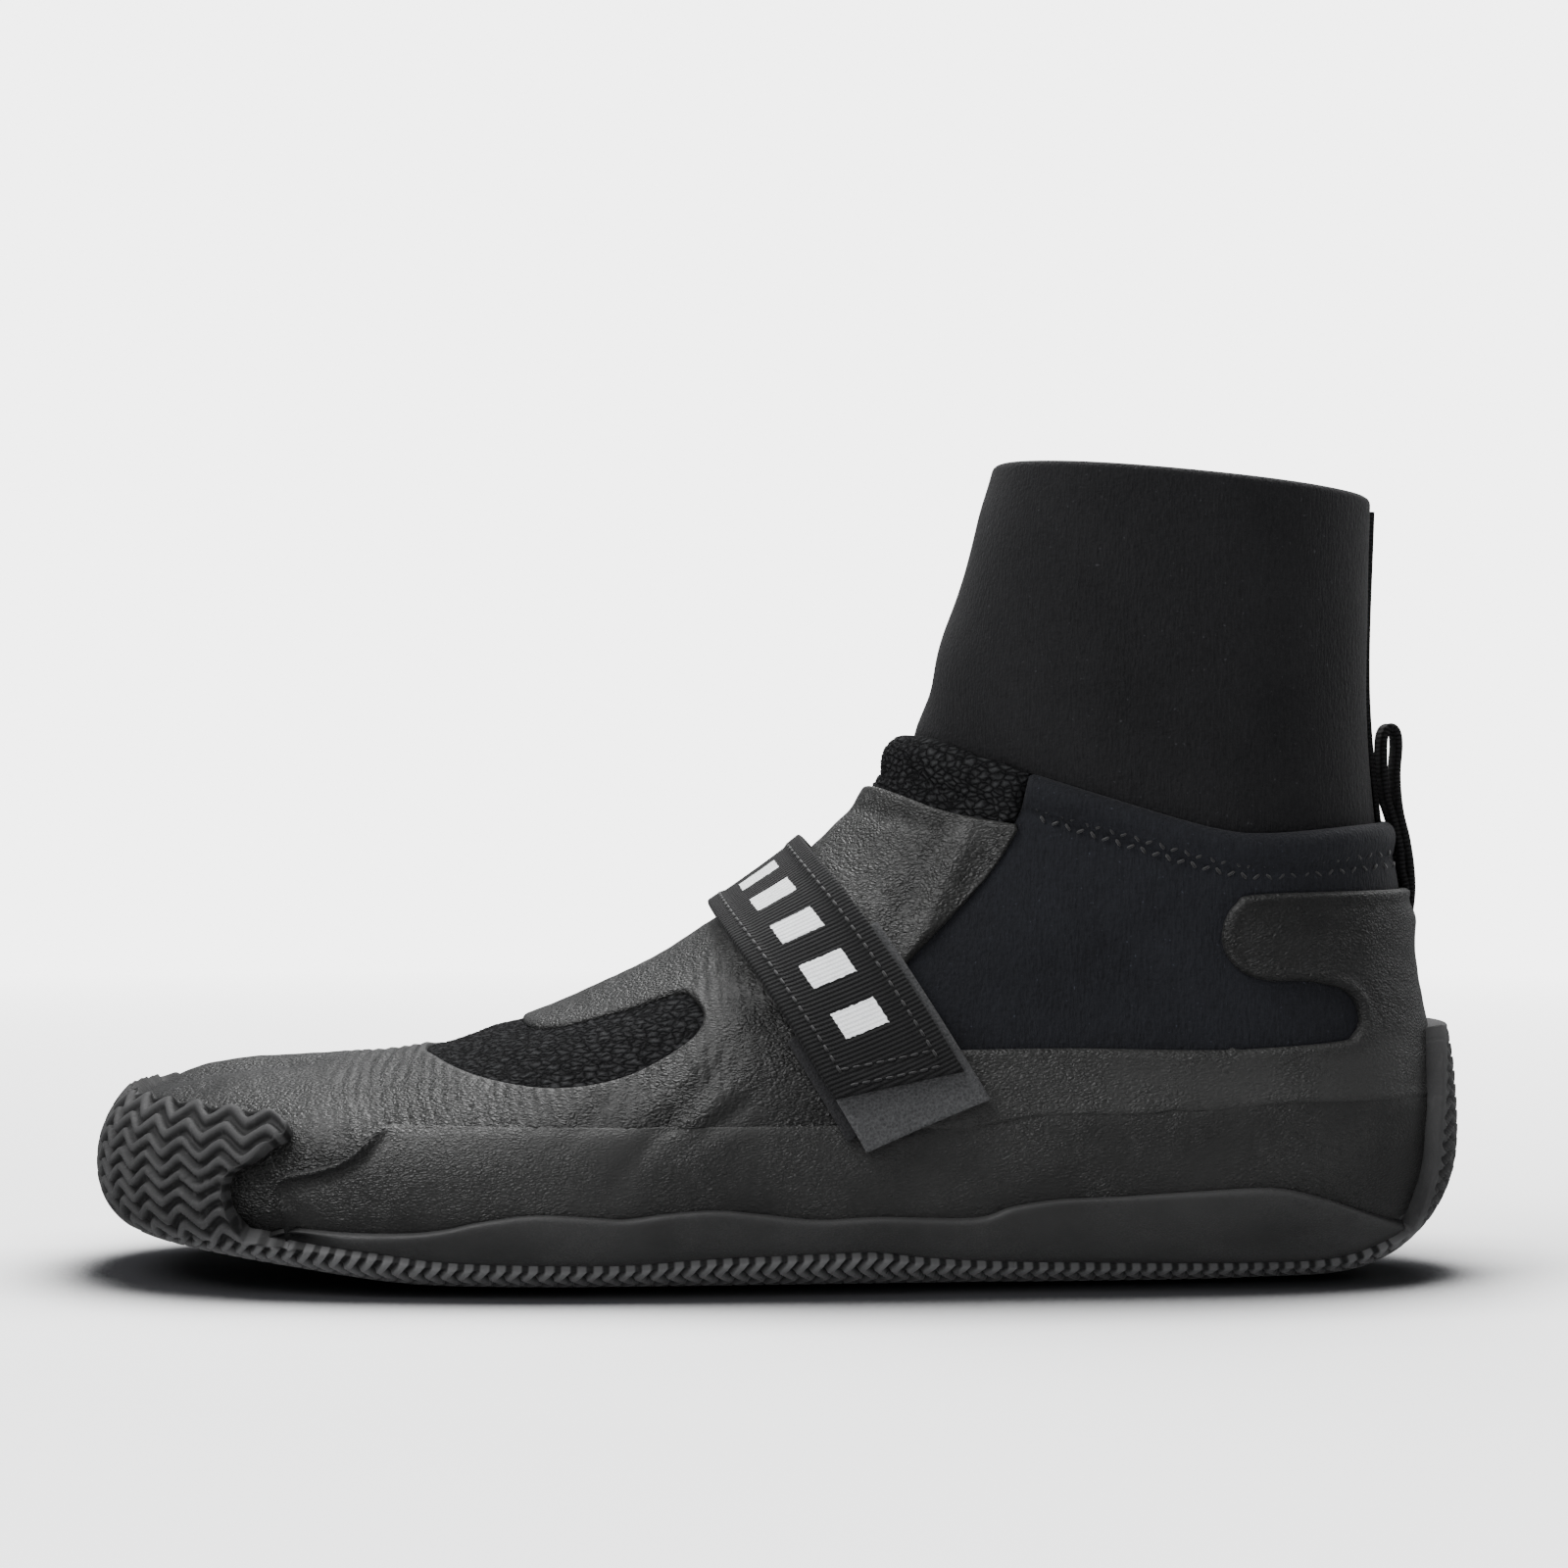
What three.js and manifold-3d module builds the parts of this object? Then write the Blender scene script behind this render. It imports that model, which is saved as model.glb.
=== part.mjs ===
// A left ankle-height neoprene water-sports boot, in millimetres.
// +X runs from toe to heel, +Z is up, and the lateral (outer) side of the foot is at -Y.
// The origin is on the ground, at the middle of the boot's length and width.
//
// Every layer is a shell at its own distance from one surface, the outside of the inner sock.
// A layer's outline is drawn in the side view and cut through the shell from side to side.

import * as THREE from "three";
import { mergeVertices } from "three/addons/utils/BufferGeometryUtils.js";
import Module from "manifold-3d";

const wasm = await Module();
wasm.setup();

// ---------------------------------------------------------------- sizes

const bootLength = 285; // toe bumper to heel bumper
const ballWidth = 101; // across the rands at the ball of the foot
const bootHeight = 168; // ground to the front of the cuff's rim

const sockThickness = 3; // neoprene of the inner sock and cuff
const upperThickness = 2.5; // neoprene quarters and stretch knit
const overlayThickness = 1.2; // rubber skin over the vamp and the heel
const bandThickness = 1.6; // rubber band round the side
const randThickness = 1.4; // moulded wall above the tread
const outsoleThickness = 3.2; // tread rubber
const footbedThickness = 4; // foam insole
const layerGap = 0.3; // between two layers
const seamGap = 0.4; // between two pieces edge to edge
const soleFlattening = 0.4; // how much of the tread's curve the ground plane takes off

const strapWidth = 25; // webbing
const strapThickness = 1.7;
const strapStandoff = 1.6; // webbing above the vamp overlay at the crest of the instep
const strapEndDrop = 48.5; // crest to the cut end, seen from the side
const strapEndSlant = 0.43; // the end is cut longer on its heel side
const strapBaseDrop = 46; // crest to the medial fold line, seen from the side
const anchorLength = 14; // webbing sewn down below the fold line
const padWidth = 27.4; // hook-and-loop pads
const padStart = 24; // crest to the top edge of the pads
const padEnd = 58; // crest to the bottom edge of the pads
const hookPadThickness = 1.1;
const loopPadThickness = 1;

const seamTapeWidth = 8;
const seamTapeThickness = 0.8;

const loopTapeWidth = 10; // heel pull loop
const loopTapeThickness = 1.8;

const flexClearance = 10; // the cuff's flex line above the collar
const flexGap = 0.4;

// ---------------------------------------------------------------- layer stack

const upperInner = layerGap;
const upperOuter = upperInner + upperThickness;
const overlayInner = upperOuter + layerGap;
const overlayOuter = overlayInner + overlayThickness;
const bandOuter = overlayInner + bandThickness;
const soleInner = bandOuter + layerGap; // the rands, the outsole and the strap's pads start here
const randOuter = soleInner + randThickness;
const outsoleOuter = soleInner + outsoleThickness;
const sockBase = outsoleOuter - soleFlattening; // height of the sock's flat underside

const loopPadOuter = soleInner + loopPadThickness;
const hookPadInner = loopPadOuter + layerGap;
const hookPadOuter = hookPadInner + hookPadThickness;
const strapCrestInner = overlayOuter + strapStandoff;
const strapEndInner = Math.max(strapCrestInner, hookPadOuter + layerGap);

// The shape is drawn for these sizes of the bare sock, and stretched to the sizes above.
const drawnLength = 268.8;
const drawnBall = 88.3;
const drawnHeight = 160.2;
const stretchX = (bootLength - 2 * outsoleOuter) / drawnLength;
const stretchY = (ballWidth - 2 * randOuter) / drawnBall;
const stretchZ = (bootHeight - sockBase) / drawnHeight;
const side = (x, z) => new THREE.Vector2(x * stretchX, sockBase + z * stretchZ);
const line = (points) => points.map(([x, z]) => side(x, z));
const moved = (points, dx, dz) => points.map((point) => new THREE.Vector2(point.x + dx, point.y + dz));
const beside = (points, distance) => points.map((point, i) => {
  const way = points[Math.min(i + 1, points.length - 1)].clone().sub(points[Math.max(i - 1, 0)]);
  return new THREE.Vector2(-way.y, way.x).setLength(distance).add(point);
});
const rounded = (points) => new THREE.SplineCurve(points).getPoints(3 * (points.length - 1));

// ---------------------------------------------------------------- sock surface

// Cross sections from the toe tip to the rim. They stand upright in the forefoot, fan round the heel
// and lie flat in the cuff. Each one has its top (or front) point and its bottom (or back) point in
// the side view, its lateral edge, medial edge and middle line, the share of its height where it is
// widest, and how square it is below and above that.
const sections = [
  [[-136.2, 15.2], [-136.2, 15.2], 9, 9, 9, 0.45, 2.2, 2.2],
  [[-134.8, 22], [-134.7, 10.4], -8, 25, 9, 0.45, 2.3, 2.3],
  [[-129, 27.8], [-129.5, 8], -20.5, 33, 8, 0.42, 3, 2.5],
  [[-116, 30.6], [-117, 6.2], -32, 39, 7, 0.4, 3.8, 2.5],
  [[-96, 32.4], [-97, 3.4], -39.5, 42.5, 6, 0.4, 4.2, 2.4],
  [[-74, 35.6], [-75, 0.6], -43.5, 43.8, 5, 0.4, 4.4, 2.1],
  [[-49, 43.5], [-51, 0], -45, 43.3, 4, 0.36, 4.4, 1.9],
  [[-24, 55.2], [-26, 0], -43.5, 38.5, 3, 0.31, 4.4, 1.75],
  [[0, 71.2], [2, 0], -40.5, 34, 2, 0.26, 4.2, 1.7],
  [[14.5, 83.5], [32, 0], -37, 31.5, 1, 0.24, 4, 1.7],
  [[20.5, 91.7], [63, 0], -34.5, 31.2, 0.5, 0.25, 3.8, 1.75],
  [[24, 98], [95, 0.3], -33, 31.5, 0, 0.28, 3.4, 1.85],
  [[26.8, 103], [119, 2.2], -31.5, 30.5, 0, 0.33, 3, 2],
  [[28.6, 107.5], [131, 13.5], -31, 30.5, 0, 0.4, 2.6, 2.1],
  [[30, 112.5], [132.3, 32], -31.5, 31, 0, 0.45, 2.3, 2.1],
  [[31.5, 118], [129, 52], -32, 31.5, 0, 0.48, 2.2, 2.15],
  [[33.5, 125], [126.6, 70], -32.5, 32, 0, 0.5, 2.2, 2.2],
  [[36, 133.5], [124, 88], -33, 32.5, 0, 0.5, 2.2, 2.2],
  [[39.8, 146], [121.8, 115], -33.5, 33, 0, 0.5, 2.2, 2.2],
  [[43.8, 160.2], [122.8, 152.5], -34, 33.5, 0, 0.5, 2.2, 2.2],
].map((row) => row.flat());
const lastSection = sections.length - 1;

// Past the toe tip a section comes back upside down, so the surface closes in a smooth dome there.
function rowAt(index) {
  if (index < 0) {
    const [topX, topZ, bottomX, bottomZ, lateral, medial, middle, belly, low, high] = sections[-index];
    return [bottomX, bottomZ, topX, topZ, medial, lateral, middle, 1 - belly, high, low];
  }
  if (index > lastSection) {
    return sections[lastSection].map((value, i) => 2 * value - sections[lastSection - 1][i]);
  }
  return sections[index];
}

function sectionAt(along) {
  const index = Math.min(Math.floor(along), lastSection - 1);
  const f = along - index;
  const [before, from, to, after] = [-1, 0, 1, 2].map((step) => rowAt(index + step));
  return from.map((value, i) => {
    const slopeFrom = (to[i] - before[i]) / 2;
    const slopeTo = (after[i] - value) / 2;
    const bend = 3 * (to[i] - value) - 2 * slopeFrom - slopeTo;
    const twist = 2 * (value - to[i]) + slopeFrom + slopeTo;
    return value + f * (slopeFrom + f * (bend + f * twist));
  });
}

// A turn of 0 is the bottom, 1 the lateral edge, 2 the top, 3 the medial edge and 4 the bottom again.
function sockPoint(along, turn) {
  const [topX, topZ, bottomX, bottomZ, lateral, medial, middle, belly, low, high] = sectionAt(along);
  const around = ((turn % 4) + 4) % 4;
  const edge = around < 2 ? lateral : medial;
  const rise = around < 2 ? around : 4 - around;
  const angle = (rise * Math.PI) / 2;
  const power = 2 / (rise < 1 ? low : high);
  const out = Math.abs(Math.sin(angle)) ** power;
  const swing = Math.abs(Math.cos(angle)) ** power;
  const height = rise < 1 ? belly * (1 - swing) : belly + (1 - belly) * swing;
  const place = side(bottomX + (topX - bottomX) * height, bottomZ + (topZ - bottomZ) * height);
  return new THREE.Vector3(place.x, (middle + (edge - middle) * out) * stretchY, place.y);
}

function sockNormal(along, turn) {
  if (along < 0.01) {
    return new THREE.Vector3(-1, 0, 0);
  }
  const step = 0.02;
  const ahead = Math.min(along + step, lastSection);
  const alongWay = sockPoint(ahead, turn).sub(sockPoint(along - step / 2, turn));
  const turnWay = sockPoint(along, turn + step).sub(sockPoint(along, turn - step));
  return alongWay.cross(turnWay).normalize();
}

// ---------------------------------------------------------------- solids

function toManifold(geometry) {
  geometry.deleteAttribute("normal");
  geometry.deleteAttribute("uv");
  const merged = mergeVertices(geometry, 1e-5);
  return new wasm.Manifold(new wasm.Mesh({
    numProp: 3,
    vertProperties: new Float32Array(merged.attributes.position.array),
    triVerts: new Uint32Array(merged.index.array),
  }));
}

// The points and normals of the sock surface between two sections.
function makeGrid(from, to, steps, turns) {
  const rows = [];
  for (let i = 0; i <= steps; i++) {
    const along = from + ((to - from) * i) / steps;
    const row = [];
    for (let j = 0; j < turns; j++) {
      const turn = (4 * j) / turns;
      row.push({ point: sockPoint(along, turn), normal: sockNormal(along, turn) });
    }
    rows.push(row);
  }
  return rows;
}

// A solid bounded by the grid at one or two distances from the sock surface. A grid that starts at
// the toe tip closes there. A distance can be a number or a function of the point.
function layer(grid, outer, inner) {
  const positions = [];
  const faces = [];
  const distance = (amount, point) => (typeof amount === "number" ? amount : amount(point));
  const skin = (amount) => {
    const start = positions.length / 3;
    for (const row of grid) {
      for (const { point, normal } of row) {
        positions.push(...point.clone().addScaledVector(normal, distance(amount, point)));
      }
    }
    return start;
  };
  const turns = grid[0].length;
  const last = grid.length - 1;
  const vertex = (start, i, j) => start + i * turns + (j % turns);
  const quad = (a, b, c, d) => faces.push(a, c, b, a, d, c);
  const outside = skin(outer);
  const inside = inner === undefined ? -1 : skin(inner);
  for (let j = 0; j < turns; j++) {
    for (let i = 0; i < last; i++) {
      quad(vertex(outside, i, j), vertex(outside, i, j + 1),
        vertex(outside, i + 1, j + 1), vertex(outside, i + 1, j));
      if (inside >= 0) {
        quad(vertex(inside, i, j), vertex(inside, i + 1, j),
          vertex(inside, i + 1, j + 1), vertex(inside, i, j + 1));
      }
    }
    if (inside >= 0) {
      quad(vertex(outside, last, j), vertex(outside, last, j + 1),
        vertex(inside, last, j + 1), vertex(inside, last, j));
      quad(vertex(outside, 0, j + 1), vertex(outside, 0, j),
        vertex(inside, 0, j), vertex(inside, 0, j + 1));
    } else if (j > 0 && j < turns - 1) {
      faces.push(vertex(outside, last, 0), vertex(outside, last, j + 1), vertex(outside, last, j));
    }
  }
  const geometry = new THREE.BufferGeometry();
  geometry.setAttribute("position", new THREE.Float32BufferAttribute(positions, 3));
  geometry.setIndex(faces);
  return toManifold(geometry);
}

// A side-view outline carried across the boot, from one Y to another.
const halfSpan = 200;
function across(outline, fromY = -halfSpan, toY = halfSpan) {
  const geometry = new THREE.ExtrudeGeometry(new THREE.Shape(outline), {
    depth: toY - fromY,
    bevelEnabled: false,
  });
  geometry.rotateX(Math.PI / 2);
  geometry.translate(0, toY, 0);
  return toManifold(geometry);
}

// The side view's far corners close an outline outside the boot.
const farFront = -400;
const farBack = 400;
const farDown = -100;
const farUp = 500;
const corner = (x, z) => new THREE.Vector2(x, z);
const below = (points) => across([
  ...points, corner(farBack, points.at(-1).y), corner(farBack, farDown),
  corner(farFront, farDown), corner(farFront, points[0].y),
]);

const boot = new THREE.Group();
function addPiece(name, solid, colour, roughness) {
  const mesh = solid.getMesh();
  const geometry = new THREE.BufferGeometry();
  const stride = mesh.numProp;
  const positions = [];
  for (let i = 0; i < mesh.vertProperties.length; i += stride) {
    positions.push(mesh.vertProperties[i], mesh.vertProperties[i + 1], mesh.vertProperties[i + 2]);
  }
  geometry.setAttribute("position", new THREE.Float32BufferAttribute(positions, 3));
  geometry.setIndex([...mesh.triVerts]);
  geometry.computeVertexNormals();
  const material = new THREE.MeshStandardMaterial({ color: colour, roughness, metalness: 0 });
  const piece = new THREE.Mesh(geometry, material);
  piece.name = name;
  boot.add(piece);
}

const neopreneBlack = 0x121316;
const jerseyBlack = 0x0e0e10;
const knitGrey = 0x222326;
const rubberGrey = 0x2b2c2e;
const bandGrey = 0x262729;
const soleGrey = 0x2a2b2c;
const webbingBlack = 0x1b1b1d;
const padGrey = 0x3a3b3e;
const foamGrey = 0x3c3c40;

const wholeGrid = makeGrid(0, lastSection, 32, 24);
const lateralHalf = across(
  [corner(farFront, farDown), corner(farBack, farDown), corner(farBack, farUp), corner(farFront, farUp)],
  -halfSpan, -seamGap / 2,
);
const medialHalf = lateralHalf.mirror([0, 1, 0]);

// ---------------------------------------------------------------- lines of the side view

const featherLine = line([
  [-150, 17], [-135.5, 10.8], [-129.5, 7.8], [-117, 6], [-97, 3.2], [-75, 0.4], [-51, -0.2],
  [95, 0.1], [119, 2], [129, 9], [150, 16],
]);
const footbedLine = line([
  [-150, 13], [-134.7, 10.4], [-129.5, 8], [-117, 6.2], [-97, 3.4], [-75, 0.6], [-51, 0], [95, 0.3],
  [119, 2.2], [150, 4],
]);
const lipLine = line([
  [-107.6, 4], [-97.6, 2.9], [-82.3, 1.4], [-67, -0.6], [-44.7, -1.3], [-30.1, -1.3], [-15.3, -0.2],
  [11.6, 0.7], [19.6, 0.6], [31.6, -0.9], [51.7, -2.1], [83.8, -2.9], [108.8, -2.9], [119.1, -1],
  [128.5, 3],
]);
const randLine = rounded(line([
  [-106.5, 6.4], [-97.8, 5.9], [-86.2, 5], [-74.7, 5.2], [-67.2, 6.1], [-59.8, 7.8], [-49.2, 9.2],
  [-37.4, 8.6], [-31.4, 8.2], [-22.6, 9.3], [-13.1, 9.8], [-4.3, 8.9], [7, 7.6], [19.4, 8],
  [38.1, 7.5], [45.9, 9.8], [55.6, 11.2], [67.8, 11.7], [83.8, 12.6], [98.6, 13], [108.8, 10.7],
  [117.5, 7.5], [127, 4.6],
]));
const bandFront = rounded(line([
  [-99, -20], [-99.7, 6.1], [-101.4, 10], [-102.4, 13.6], [-98.1, 17.9], [-86.3, 22.8], [-78, 25.9],
]));
const bandTop = line([
  [-40, 26.2], [11.6, 26.4], [36.2, 26.5], [51, 28.7], [68.9, 28.9], [88.8, 29.9], [105.1, 31.3],
  [160, 30.8],
]);
const collarLine = line([
  [50, 96.4], [69, 90.5], [87, 85.5], [99.4, 84.5], [125.7, 86.6], [160, 88],
]);
const knitCollar = line([[8, 104.6], [25.4, 104.6], [32.1, 103.4], [39.9, 100], [44.6, 98.6], [50, 96.4]]);
const quarterFront = line([
  [50, 96.4], [47.8, 87], [44, 84.5], [36.5, 76], [19.5, 58], [10, 40], [10, -30],
]);

// ---------------------------------------------------------------- sock, cuff and footbed

const ankle = side(72, 53);
const flexRadius = flexClearance + Math.max(
  ...[...collarLine.slice(0, -1), ...knitCollar.slice(1)].map((point) => point.distanceTo(ankle)),
);

// Everything above an arc about the ankle axis, over the cuff.
function aboveFlexLine(radius) {
  const outline = [];
  const arcStart = 152;
  const arcEnd = 18;
  for (let degrees = arcStart; degrees >= arcEnd; degrees -= 4) {
    const angle = THREE.MathUtils.degToRad(degrees);
    outline.push(corner(ankle.x + radius * Math.cos(angle), ankle.y + radius * Math.sin(angle)));
  }
  const [first, last] = [outline[0], outline.at(-1)];
  outline.push(corner(farBack, last.y), corner(farBack, farUp));
  outline.push(corner(farFront, farUp), corner(farFront, first.y));
  return across(outline);
}

const sockWall = layer(wholeGrid, 0, -sockThickness);
addPiece("inner_sock", sockWall.subtract(aboveFlexLine(flexRadius - flexGap / 2)), neopreneBlack, 0.9);
const cuffCut = aboveFlexLine(flexRadius + flexGap / 2);
addPiece("ankle_cuff", sockWall.intersect(cuffCut), jerseyBlack, 0.95);

const seamTape = layer(wholeGrid, layerGap + seamTapeThickness, layerGap)
  .intersect(across(
    [corner(ankle.x, farDown), corner(farBack, farDown), corner(farBack, farUp), corner(ankle.x, farUp)],
    -seamTapeWidth / 2, seamTapeWidth / 2,
  ));
addPiece("cuff_seam_tape", seamTape.intersect(cuffCut), jerseyBlack, 0.8);

const footSpace = layer(wholeGrid, -sockThickness - layerGap);
const footbedTop = moved(footbedLine, 0, sockThickness + layerGap + footbedThickness);
addPiece("footbed", footSpace.intersect(below(footbedTop)), foamGrey, 0.9);

// ---------------------------------------------------------------- upper

const upper = layer(wholeGrid, upperOuter, upperInner).subtract(below(moved(featherLine, 0, seamGap)));

const knitOutline = [
  ...knitCollar, ...quarterFront.slice(1), corner(farFront, farDown), corner(farFront, knitCollar[0].y),
];
addPiece("knit_upper", upper.intersect(across(knitOutline)), knitGrey, 0.95);

const quarterOutline = [
  ...moved(collarLine, seamGap, 0), corner(farBack, farDown), ...moved([...quarterFront].reverse(), seamGap, 0),
];
const quarters = upper.intersect(across(quarterOutline));
addPiece("quarter_lateral", quarters.intersect(lateralHalf), neopreneBlack, 0.85);
addPiece("quarter_medial", quarters.intersect(medialHalf), neopreneBlack, 0.85);

// ---------------------------------------------------------------- rubber overlays and side bands

const aboveFeather = (outer) => layer(wholeGrid, outer, overlayInner)
  .subtract(below(moved(featherLine, 0, seamGap)));
const overlay = aboveFeather(overlayOuter);

const vampRearX = side(14, 0).x;
const vampOutline = [
  corner(farFront, farDown),
  ...beside([...bandFront, ...bandTop], seamGap).filter((point) => point.x < vampRearX),
  corner(vampRearX, bandTop[0].y + seamGap),
  ...line([
    [14, 36], [18, 48], [23.9, 57.1], [41, 75.1], [48.1, 86.1], [39.7, 87.5], [31.8, 89.2], [26, 91.4],
    [19.2, 93.8], [16.2, 93.8], [12.5, 95.5],
  ]),
  corner(farFront, side(0, 95.5).y),
];
const vampWindow = rounded(line([
  [-80, 52], [-76.2, 40.2], [-71.5, 38], [-59.6, 34.8], [-45.2, 33.4], [-31.5, 35.8], [-19.7, 42.1],
  [-16.2, 46.9], [-18.4, 50.6], [-21.9, 51.5], [-32.1, 48.2], [-48.7, 44.1], [-56.6, 46], [-62, 54],
]));
const vamp = overlay.intersect(across(vampOutline)).subtract(across(vampWindow));
addPiece("vamp_overlay", vamp, rubberGrey, 0.55);

const counterBottom = moved(bandTop.slice(2), 0, seamGap);
const counterFrontX = side(19.5, 0).x;
const counterOutline = [
  corner(counterFrontX, counterBottom[0].y),
  ...counterBottom,
  ...line([
    [160, 73], [131.8, 72.8], [96.9, 72.3], [91, 70.3], [88.4, 66], [88.4, 61.5], [91, 57.3],
    [96.9, 54.8], [105.4, 54.6], [113.9, 52.4], [116.9, 47.5], [115.5, 43.8], [111.3, 42.3], [88.5, 40.9],
    [59, 41.3], [33.4, 41],
  ]),
  corner(counterFrontX, side(0, 41).y),
];
addPiece("heel_counter_overlay", overlay.intersect(across(counterOutline)), rubberGrey, 0.55);

const bandOutline = [...bandFront, ...bandTop, corner(farBack, farDown)];
const bands = aboveFeather(bandOuter).intersect(across(bandOutline));
addPiece("side_band_lateral", bands.intersect(lateralHalf), bandGrey, 0.6);
addPiece("side_band_medial", bands.intersect(medialHalf), bandGrey, 0.6);

// ---------------------------------------------------------------- midsole, outsole and rands

const midsole = layer(wholeGrid, bandOuter, upperInner).intersect(below(featherLine));
addPiece("midsole", midsole, soleGrey, 0.8);

const toeWrap = line([
  [-150, 30.5], [-138.2, 30.3], [-122.5, 29.5], [-112.6, 28.6], [-103.1, 28], [-98.6, 26.4],
  [-98.4, 24.6], [-110.9, 15.9], [-110, 9],
]);
const heelWrap = line([[132.6, 23.6], [133.5, 31.1], [134.6, 44.4], [170, 44.4]]);
const outsoleOutline = [
  corner(farFront, toeWrap[0].y), ...toeWrap, ...lipLine, ...heelWrap,
  corner(farBack, heelWrap.at(-1).y), corner(farBack, farDown), corner(farFront, farDown),
];
const aboveGround = [corner(farFront, 0), corner(farBack, 0), corner(farBack, farUp), corner(farFront, farUp)];
const outsole = layer(wholeGrid, outsoleOuter, soleInner)
  .intersect(across(outsoleOutline))
  .intersect(across(aboveGround));
addPiece("outsole", outsole, soleGrey, 0.85);

const randOutline = [
  ...randLine,
  ...moved(lipLine.slice(0, -1), seamGap, seamGap).reverse(),
];
const rands = layer(wholeGrid, randOuter, soleInner).intersect(across(randOutline));
addPiece("rand_lateral", rands.intersect(lateralHalf), soleGrey, 0.7);
addPiece("rand_medial", rands.intersect(medialHalf), soleGrey, 0.7);

// ---------------------------------------------------------------- instep strap

const strapCrest = side(-5, 75.7);
const strapWay = new THREE.Vector2(0.535, -0.845); // down the boot, seen from the side
const strapAcross = new THREE.Vector2(-strapWay.y, strapWay.x);
const onStrap = (offset, drop) => strapCrest.clone()
  .addScaledVector(strapAcross, offset)
  .addScaledVector(strapWay, drop);
const strapPatch = (width, from, to, slant = 0) => [
  onStrap(-width / 2, from), onStrap(width / 2, from),
  onStrap(width / 2, to + slant * width / 2), onStrap(-width / 2, to - slant * width / 2),
];
const lateralSide = (outline) => across(outline, -halfSpan, strapSplitY - seamGap / 2);
const medialSide = (outline) => across(outline, strapSplitY + seamGap / 2, halfSpan);

const belowRand = below(moved(randLine, 0, seamGap));
const strapGrid = makeGrid(5, 14, 27, 40);
const strapSplitY = sockPoint(8, 2).y;
const outsideBoot = -60; // a strap outline starts this far above the crest

// The webbing rises from the crest to lie on the hook pad.
const strapRise = (point) => {
  const drop = corner(point.x, point.z).sub(strapCrest).dot(strapWay);
  const share = point.y < strapSplitY ? THREE.MathUtils.smoothstep(drop, 2, padStart - 6) : 0;
  return share * (strapEndInner - strapCrestInner);
};
const webbing = layer(
  strapGrid,
  (point) => strapCrestInner + strapThickness + strapRise(point),
  (point) => strapCrestInner + strapRise(point),
);
addPiece("strap_end",
  webbing.intersect(lateralSide(strapPatch(strapWidth, outsideBoot, strapEndDrop, strapEndSlant))),
  webbingBlack, 0.9);
addPiece("strap_base",
  webbing.intersect(medialSide(strapPatch(strapWidth, outsideBoot, strapBaseDrop))),
  webbingBlack, 0.9);

const anchorTop = strapBaseDrop + seamGap;
const anchor = layer(strapGrid, strapCrestInner + strapThickness, soleInner)
  .intersect(medialSide(strapPatch(strapWidth, anchorTop, anchorTop + anchorLength)))
  .subtract(belowRand);
addPiece("strap_anchor", anchor, webbingBlack, 0.9);

const padShape = lateralSide(strapPatch(padWidth, padStart, padEnd)).subtract(belowRand);
const hookPad = layer(strapGrid, hookPadOuter, hookPadInner).intersect(padShape);
const loopPad = layer(strapGrid, loopPadOuter, soleInner).intersect(padShape);
addPiece("strap_hook_pad", hookPad, padGrey, 0.9);
addPiece("strap_loop_pad", loopPad, padGrey, 0.95);

// ---------------------------------------------------------------- heel pull loop

// The tape runs up beside the cuff, turns over and comes back down. Its ends are stacked at the base.
// Each point is on the back of the sock, and the tape passes so far behind it.
const bendRadius = 2; // of the turn at the top
const tapeRest = upperOuter + layerGap + loopTapeThickness / 2; // tape lying on the quarters
const behindHeel = (points) => points.map(([x, z, out]) => side(x, z).add(corner(out, 0)));
const tapeLine = behindHeel([
  [125.8, 76.4, tapeRest + 0.1], [125, 81, tapeRest + 0.6], [124.2, 86.6, tapeRest + 0.5],
  [123.7, 91.5, tapeRest - 0.5], [123.1, 97, tapeRest - 0.7],
]);
const [bendCentre] = behindHeel([[122.4, 104, tapeRest + bendRadius - 0.1]]);
for (let degrees = 180; degrees >= 0; degrees -= 30) {
  const angle = THREE.MathUtils.degToRad(degrees);
  const turn = corner(Math.cos(angle), Math.sin(angle));
  tapeLine.push(bendCentre.clone().addScaledVector(turn, bendRadius));
}
const tapeReturn = tapeRest + 2 * bendRadius - 1;
tapeLine.push(...behindHeel([
  [123.2, 96, tapeReturn + 0.2], [123.9, 89, tapeReturn], [124.7, 83, tapeReturn + 0.4],
  [125.8, 76.4, tapeReturn],
]));
const outsideTape = across(beside(tapeLine, loopTapeThickness / 2), -loopTapeWidth / 2, loopTapeWidth / 2);
const insideTape = across(beside(tapeLine, -loopTapeThickness / 2).slice(1, -1));
addPiece("heel_pull_loop", outsideTape.subtract(insideTape), webbingBlack, 0.9);

// The origin goes to the middle of the boot on the ground.
const middle = new THREE.Box3().setFromObject(boot).getCenter(new THREE.Vector3());
for (const piece of boot.children) {
  piece.position.set(-middle.x, -middle.y, 0);
}

export default boot;
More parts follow.
